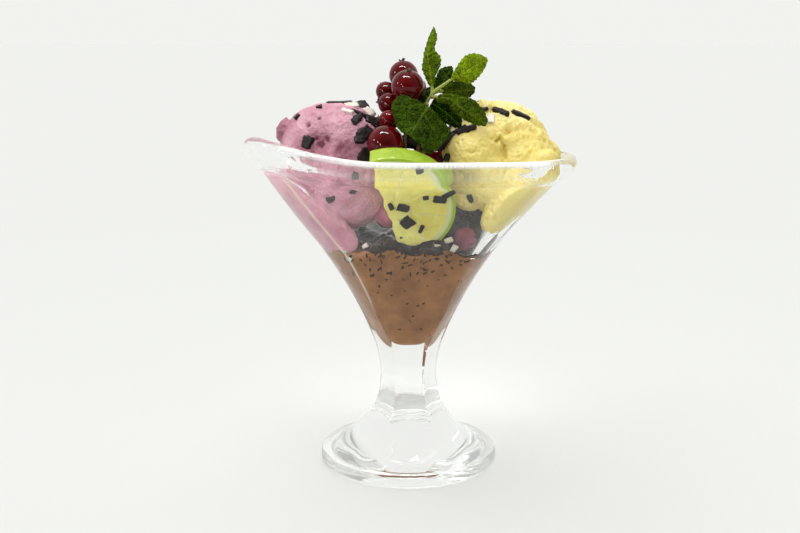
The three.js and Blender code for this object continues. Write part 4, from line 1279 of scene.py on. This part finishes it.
for i in range(JAMMED_STRANDS):
    share = i / (JAMMED_STRANDS - 1)
    place = (lerp(13, -3, share), dice.uniform(-13, -5), dice.uniform(118, 131))
    turn = Quaternion((0, 1, 0), dice.uniform(-0.5, 0.5)) @ Quaternion((0, 0, 1), dice.uniform(-0.7, 0.7))
    size = (dice.uniform(6.5, 9), dice.uniform(1.9, 2.5), dice.uniform(1.7, 2.2))
    yellow_strands.put(lump(2, 760 + i, size, 0.6, 0.16), place, turn)
yellow_strands.finish("yellow_chocolate_strands", flake_material)
yellow_flake = Heap()
put_topping(yellow_flake, yellow_points, YELLOW_CENTRE, -17, 46, 70, (4.2, 3, 1.1), 0, 740)
yellow_flake.finish("yellow_pale_flake", nut_material)

# Red currants. A short bunch of glassy, deep red fruit lying between the scoops, each with
# the dry brown tuft of its flower at one end. Two more lie behind the glass, filmed with cream
# and painted a paler mauve for the haze of the glass in front.

CURRANTS = (
    ((-8, -28.5, 126.6), 6.6, (0.3, -0.3, -1)),
    ((-7, -18.6, 134.1), 3.7, (-1, -0.2, 0.2)),
    ((-7.1, -10, 139.4), 4, (-1, 0.3, 0.3)),
    ((-0.3, -13.4, 145.8), 6, (0.1, -0.25, 1)),
    ((-8.4, -2.8, 143.4), 3.7, (-0.5, 0.8, 0.5)),
    ((-1.8, -0.6, 149.2), 5.4, (-0.1, 0.1, 1)),
    ((10.2, -15, 120.2), 4.4, (-0.3, -0.6, -0.75)),
    ((-7.8, -15.9, 99.6), 4.9, (-0.5, -0.4, -0.7)),
    ((20.8, -15.6, 90.6), 4.5, (0.42, -0.84, -0.3)),
    ((2.4, 8.2, 143.7), 4.5, (0.6, 0.6, 0.4)),
)
TUFT_PETALS = 5
CREAMED_BELOW = 115


def currant_look(name, deep, bright, roughness):
    """Currant skin: glassy and deep red, or paler and duller behind the glass, for the cream run over it
    and a painted haze of the glass in front.
    """
    material, shader = made_material(name)
    tone = ramp(material, object_noise(material, 130, 3), [(0.3, deep), (0.7, bright)])
    wire(material, tone, shader.inputs["Base Color"])
    set_look(shader, Roughness=roughness, IOR=1.34, Subsurface_Weight=0.35,
             Subsurface_Radius=(1.0, 0.06, 0.03), Subsurface_Scale=0.003)
    relief(material, shader, object_noise(material, 420, 2), 0.08, 0.0003)
    return material


currant_material = currant_look("currant_skin", (0.05, 0, 0.0006), (0.16, 0, 0.002), 0.05)
# Behind the glass: paler mauve, partly cream film and partly painted haze of the glass wall.
creamed_hazed_material = currant_look("currant_skin_creamed_painted_haze", (0.14, 0.01, 0.026), (0.46, 0.14, 0.2), 0.1)

tuft_material, tuft_shader = made_material("dry_tuft")
tuft_tone = ramp(tuft_material, object_noise(tuft_material, 900, 3),
                 [(0.3, (0.045, 0.016, 0.01)), (0.7, (0.15, 0.07, 0.035))])
wire(tuft_material, tuft_tone, tuft_shader.inputs["Base Color"])
set_look(tuft_shader, Roughness=0.75)
relief(tuft_material, tuft_shader, object_noise(tuft_material, 2500, 3), 0.4, 0.0003)

currant_ball, currant_faces = ball_points(5)
for i, (centre, radius, eye) in enumerate(CURRANTS):
    eye_way = np.array(Vector(eye).normalized())
    near_eye = np.clip(currant_ball @ eye_way, -1, 1)
    dimple = 0.07 * np.exp(-((1 - near_eye) / 0.02)) + 0.05 * np.exp(-((1 + near_eye) / 0.02))
    wobble = noise_at(currant_ball + i * 7, 1.6, i, 2) * 0.018
    shape = currant_ball * (radius * (1 - dimple + wobble))[:, None] + np.array(centre)
    creamed = centre[2] <= CREAMED_BELOW
    skin = creamed_hazed_material if creamed else currant_material
    fruit = add_mesh(f"red_currant_{i + 1}", shape, currant_faces, skin)
    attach(fruit, "root")
    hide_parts(f"currant_{i + 1}")
    tuft = Heap()
    dice = random.Random(60 + i)
    stand = Vector((0, 0, 1)).rotation_difference(Vector(eye_way))
    foot = Vector(centre) + Vector(eye_way) * (radius * 0.94)
    tuft.put(lump(1, 800 + i, (1.9, 1.9, 0.9), 0.2), foot, stand)
    for k in range(0 if creamed else TUFT_PETALS):
        lean = Quaternion((0, 0, 1), k * 2 * math.pi / TUFT_PETALS + dice.uniform(-0.3, 0.3))
        bend = Quaternion((0, 1, 0), dice.uniform(0.5, 1.1))
        turn = stand @ lean @ bend
        tip = foot + turn @ Vector((0.25, 0, 0.75))
        tuft.put(lump(0, 830 + 10 * i + k, (0.35, 0.9, 1.8), 0.3, 0.2), tip, turn)
    tuft.finish(f"currant_tuft_{i + 1}", tuft_material)

# Stalks. The thin dry stalk that carries the currants goes down between the scoops, and the
# soft green mint stem beside it forks under the leaves.

STALK_ROUTES = (
    ("currant_stem", "currant_stalk", "stalk", (0.6, 0.6),
     [[(-0.6, -14.4, 118), (-1.2, -13, 130), (1.2, -6, 139.4), (-2.6, -5.6, 143.4)],
      [(-1, -13.6, 124.6), (-2.2, -18.6, 125.6), (-4, -23.4, 126.4)],
      [(-0.8, -13.9, 121.6), (3.6, -14.6, 122.6), (7, -15, 121.2)],
      [(-1.2, -12.8, 130.4), (-3, -15, 132.6), (-4.6, -17.4, 133.8)]]),
    ("mint_sprig_stem", "mint_stem", "mint_stem", (0.8, 0.5),
     [[(3.2, -15, 119), (4.4, -16.6, 131), (6.2, -18.2, 139.5), (8.4, -18.2, 143.3)],
      [(7.9, -18.3, 142.4), (9.6, -18.3, 144.6), (11.8, -18, 146.1), (15.2, -17.3, 148.5)],
      [(8.3, -18.2, 142.8), (8.5, -17.9, 144.4), (8.4, -17.7, 146)],
      [(8.2, -18.3, 142.4), (9.4, -19.2, 142.4), (10.6, -20.2, 142.3)],
      [(9, -18.2, 143.9), (10.6, -16.8, 144.3), (12.4, -15.6, 144.3)],
      [(8.6, -17.8, 143.6), (9.4, -16.2, 144.2), (10.2, -14.4, 144.7)],
      [(6.4, -18.2, 139.9), (6.5, -20.6, 140.1), (6.7, -23.2, 139.7)]]),
)
STEM_GREEN_FROM = 139.5
STEM_GREEN_ABOVE = 144.5


def tube(route, radii, seed):
    """A round stalk along a smooth route, a little uneven, thinning towards its end."""
    sides = 14
    line = [Vector(p) for p in rounded_line(route, 10)]
    points, faces = [], []
    side = Vector((1, 0.2, 0.1)).normalized()
    last = len(line) - 1
    for i, p in enumerate(line):
        tangent = (line[min(i + 1, last)] - line[max(i - 1, 0)]).normalized()
        side = (side - tangent * side.dot(tangent)).normalized()
        other = tangent.cross(side)
        radius = lerp(*radii, i / last) * (0.55 if i in (0, last) else 1.0)
        for k in range(sides):
            a = 2 * math.pi * k / sides
            rough = 1 + 0.09 * noise.noise(
                Vector((i * 0.35, math.cos(a) * 1.5, math.sin(a) * 1.5 + seed)))
            points.append(p + (side * math.cos(a) + other * math.sin(a)) * (radius * rough))
    for i in range(last):
        for k in range(sides):
            m = (k + 1) % sides
            faces.append((i * sides + k, i * sides + m, (i + 1) * sides + m, (i + 1) * sides + k))
    faces.append(tuple(reversed(range(sides))))
    faces.append(tuple(range(last * sides, (last + 1) * sides)))
    return np.array(points), faces


stalk_material, stalk_shader = made_material("stalk_look")
stalk_tone = ramp(stalk_material, object_noise(stalk_material, 300, 4, 0.6, (1, 1, 0.2)),
                  [(0.3, (0.12, 0.06, 0.02)), (0.7, (0.32, 0.18, 0.07))])
wire(stalk_material, stalk_tone, stalk_shader.inputs["Base Color"])
set_look(stalk_shader, Roughness=0.55)
stalk_grain = object_noise(stalk_material, 1500, 4, 0.6, (1, 1, 0.15))
relief(stalk_material, stalk_shader, stalk_grain, 0.4, 0.0003)

stem_material, stem_shader = made_material("mint_stem_look")
stem_height = add_node(stem_material, "SeparateXYZ")
wire(stem_material, add_node(stem_material, "TexCoord").outputs["Object"], stem_height.inputs[0])
stem_rise = add_node(stem_material, "MapRange")
stem_rise.inputs["From Min"].default_value = STEM_GREEN_FROM * MM
stem_rise.inputs["From Max"].default_value = STEM_GREEN_ABOVE * MM
wire(stem_material, stem_height.outputs["Z"], stem_rise.inputs["Value"])
stem_tone = ramp(stem_material, stem_rise.outputs[0],
                 [(0, (0.16, 0.07, 0.018)), (1, (0.28, 0.34, 0.035))])
wire(stem_material, stem_tone, stem_shader.inputs["Base Color"])
set_look(stem_shader, Roughness=0.4, Subsurface_Weight=0.3, Subsurface_Scale=0.001)
relief(stem_material, stem_shader, object_noise(stem_material, 1500, 4), 0.3, 0.0003)
for name, node_name, slot_name, radii, routes in STALK_ROUTES:
    parts = Heap()
    for k, route in enumerate(routes):
        parts.put(tube(route, radii, k), (0, 0, 0), Quaternion())
    look = stalk_material if slot_name == "stalk" else stem_material
    made = parts.finish(name, look)
    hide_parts(node_name)

# Mint. A fresh sprig of eight leaves, each quilted between sunken side veins, with a pale
# midrib and a saw-toothed edge; each leaf's green is painted brighter where it catches the
# light and deeper where it lies in shade, and the front one hangs doubled over the lime.

LEAF_THICKNESS = 0.55
LEAF_ROWS = 84
LEAF_COLUMNS = 40
LEAF_TOOTH = 1.9
LEAF_TOOTH_DEPTH = 0.42
VEIN_GAP = 2.5
VEIN_SLANT = 3.6
VEIN_SHOWS = 0.3
QUILT_HEIGHT = 0.36
MIDRIB_SINKS = 0.16
MIDRIB_WIDTH = 0.22
# Each leaf's last key paints its green between shade (0) and full light (1).
LEAVES = {
    "upright": {
        "midrib": [(8.5, -17.6, 145.3), (7.8, -17.8, 151.1), (6.9, -15.6, 158), (9.1, -12, 166.7)],
        "left": [0.4, 1.8, 2.6, 2.9, 1.9, 1.4, 1, 0.15], "right": [0.4, 0.9, 1.9, 4, 4.2, 2.2, 1.9, 0.15],
        "across": (1, -0.3, 0), "cup": -0.3, "wave": 0.3, "leans": (0.1, 0.1), "painted_light": 0.55},
    "upper_right": {
        "midrib": [(15.2, -17.2, 148.5), (18.6, -18.2, 150.4), (22.6, -16.8, 152.8), (28.1, -13, 155.5)],
        "left": [0.4, 1.6, 2.6, 3.4, 4.1, 4.4, 3.5, 0.8], "right": [0.4, 1.9, 3.3, 4.8, 5, 4.6, 3.4, 1.2],
        "across": (0.45, 0.1, -0.9), "cup": -0.3, "wave": 0.3, "leans": (0, 0), "painted_light": 1},
    "back": {
        "midrib": [(10, -14.6, 144.4), (12.1, -12, 147.3), (14, -9, 149.7), (15.9, -6, 152.3)],
        "left": [1, 2, 2.7, 3.2, 3.4, 2.9, 1.9, 0.6], "right": [1.4, 2.8, 3.6, 4, 3.8, 3.1, 2, 0.8],
        "across": (0.7, 0.3, -0.6), "cup": -0.2, "wave": 0.4, "leans": (0.1, 0.1), "painted_light": 0.1},
    "middle": {
        "midrib": [(12, -15.6, 144.2), (15.6, -15, 144.1), (19.7, -12, 144.3), (24.1, -7.5, 144.2)],
        "left": [1.6, 2.7, 3.3, 3.7, 3.8, 3.5, 2.7, 1], "right": [1.3, 2.1, 2.5, 2.8, 3, 3, 2.6, 1.2],
        "across": (0.1, 0.1, -1), "cup": -0.2, "wave": 0.4, "leans": (0.2, 0.2), "painted_light": 0.22},
    "lower_right": {
        "midrib": [(9.8, -19.8, 142), (14.6, -22.5, 142.4), (19, -27.5, 139.1), (27.1, -30.5, 134)],
        "left": [0.8, 1.1, 1.4, 2, 3.4, 4.2, 3, 0.9], "right": [1.3, 2.5, 3.2, 3.5, 3.5, 3.6, 3, 1.1],
        "across": (-0.5, 0.3, -0.8), "cup": -0.3, "wave": 0.3, "leans": (0.1, 0.1), "painted_light": 0.25},
    "lower": {
        "midrib": [(8.3, -16.2, 140.2), (11.3, -18, 138.4), (14.8, -20.5, 135.9), (18.6, -22.5, 132)],
        "left": [2.4, 3.2, 3.8, 4, 3.9, 3.1, 2, 0.3], "right": [2.6, 3.3, 3.8, 4, 3.9, 3.1, 2, 0.3],
        "across": (-0.5, 0.1, -0.8), "cup": -0.2, "wave": 0.3, "leans": (0.1, 0.1), "painted_light": 0},
    "left": {
        "midrib": [(7.2, -14.8, 141.8), (5.9, -11, 142.7), (4.9, -8, 142.5), (4.2, -4.6, 141.6)],
        "left": [2, 3.4, 4.3, 4.6, 4.3, 3.3, 2.1, 0.4], "right": [0.8, 2.2, 3.2, 3.6, 3.5, 2.8, 1.7, 0.3],
        "across": (0.6, 0, 0.8), "cup": -0.2, "wave": 0.3, "leans": (0.1, 0.1), "painted_light": 0.05},
    "front": {
        "midrib": [(6.7, -23.4, 139.5), (4.7, -28.2, 136.5), (2.6, -31.8, 133.4), (0.5, -34.4, 130.1)],
        "left": [11.6, 11.6, 11.5, 11.3, 10.8, 10.1, 9.2, 7.9],
        "right": [10.4, 11.1, 11.3, 10.9, 10.1, 8.4, 6, 3.2],
        "across": (-0.86, 0.1, 0.5), "cup": -0.16, "wave": 0.5, "leans": (0.28, 0), "painted_light": 0.12},
}


def leaf_material(name, painted_light):
    """Mint leaf: green painted deep for a leaf in shade and bright for a lit one, with paler veins and a
    fine crinkle.
    """
    material, shader = made_material(name)
    # The leaf's green is painted between a shaded tone and a lit one by its last key.
    deep = tuple(lerp(a, b, painted_light) for a, b in zip((0.0004, 0.003, 0.0001), (0.06, 0.11, 0.001)))
    pale = tuple(lerp(a, b, painted_light) for a, b in zip((0.008, 0.038, 0.0006), (0.28, 0.43, 0.004)))
    vein = tuple(lerp(a, b, painted_light) for a, b in zip((0.1, 0.19, 0.012), (0.42, 0.5, 0.04)))
    tone = ramp(material, object_noise(material, 260, 5, 0.6), [(0.32, deep), (0.68, pale)])
    net = object_cells(material, 500, "DISTANCE_TO_EDGE")
    fine_veins = ramp(material, net, [(0.0, (0.36,) * 3), (0.06, (0,) * 3)])
    tone = blend_colour(material, fine_veins, tone, vein)
    tone = blend_colour(material, mark(material, "vein"), tone, vein)
    wire(material, tone, shader.inputs["Base Color"])
    set_look(shader, Roughness=0.4, Specular_IOR_Level=0.03, Subsurface_Weight=0.1,
             Subsurface_Radius=(0.6, 1.0, 0.2), Subsurface_Scale=0.001)
    crinkle = add_node(material, "Bump", Strength=0.9, Distance=0.001)
    quilted = ramp(material, net, [(0.0, (0,) * 3), (0.3, (1,) * 3)])
    wire(material, quilted, crinkle.inputs["Height"])
    relief(material, shader, object_noise(material, 1800, 4), 0.3, 0.0002, crinkle.outputs["Normal"])
    return material


for name, leaf in LEAVES.items():
    line = [Vector(p) for p in rounded_line(leaf["midrib"], LEAF_ROWS // 3)]
    widths = rounded_line(list(zip(leaf["left"], leaf["right"])), LEAF_ROWS // 7)
    lengths = [0.0]
    for a, b in zip(line, line[1:]):
        lengths.append(lengths[-1] + (b - a).length)
    upper, lower, vein_mark = [], [], []
    for j in range(LEAF_ROWS + 1):
        along = j / LEAF_ROWS
        tangent = (line[min(j + 1, LEAF_ROWS)] - line[max(j - 1, 0)]).normalized()
        normal = Vector(leaf["across"]).cross(tangent).normalized()
        right = tangent.cross(normal)
        for i in range(LEAF_COLUMNS + 1):
            share = 2 * i / LEAF_COLUMNS - 1
            near = abs(share)
            side = right if share > 0 else -right
            half = widths[j][1 if share > 0 else 0]
            lean = leaf["leans"][1 if share > 0 else 0]
            saw = (lengths[j] / LEAF_TOOTH) % 1
            tooth = LEAF_TOOTH_DEPTH * (saw - 0.4) * near ** 8 * min(half / 1.5, 1)
            outward = near * half + tooth
            phase = (lengths[j] / VEIN_GAP - near * min(half, 6) / VEIN_SLANT) % 1
            to_vein = min(phase, 1 - phase)
            side_vein = math.exp(-(to_vein / 0.08) ** 2) * (1 - 0.5 * near)
            midrib = math.exp(-(near * half / MIDRIB_WIDTH) ** 2) * (1 - 0.6 * along)
            quilt = QUILT_HEIGHT * (1 - math.exp(-(to_vein / 0.28) ** 2))
            quilt *= min(near * 4, 1) * min((1 - near) * 5, 1)
            lift = leaf["cup"] * half * near ** 1.5
            lift += leaf["wave"] * math.sin(9 * along + 2.5 * share) * near ** 2
            lift += quilt * min(half / 2, 1) - MIDRIB_SINKS * midrib
            point = line[j] + side * outward + tangent * (outward * lean) + normal * lift
            thick = LEAF_THICKNESS * (0.35 + 0.65 * (1 - near ** 6)) / 2
            upper.append(point + normal * thick)
            lower.append(point - normal * thick)
            vein_mark.append(max(midrib, VEIN_SHOWS * side_vein))
    grid = LEAF_COLUMNS + 1
    total = len(upper)
    faces = []
    for j in range(LEAF_ROWS):
        for i in range(LEAF_COLUMNS):
            a = j * grid + i
            b, c, d = a + 1, a + grid + 1, a + grid
            faces.append((a, b, c, d))
            faces.append((a + total, d + total, c + total, b + total))
    ring = list(range(LEAF_COLUMNS))
    ring += [j * grid + LEAF_COLUMNS for j in range(LEAF_ROWS)]
    ring += [LEAF_ROWS * grid + i for i in range(LEAF_COLUMNS, 0, -1)]
    ring += [j * grid for j in range(LEAF_ROWS, 0, -1)]
    for k, a in enumerate(ring):
        b = ring[(k + 1) % len(ring)]
        faces.append((b, a, a + total, b + total))
    look = leaf_material(f"mint_{name}_look", leaf["painted_light"])
    made = add_mesh(f"mint_{name}", np.array(upper + lower), faces, look, {"vein": vein_mark + vein_mark})
    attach(made, "root")
    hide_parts(f"mint_leaf_{name}")
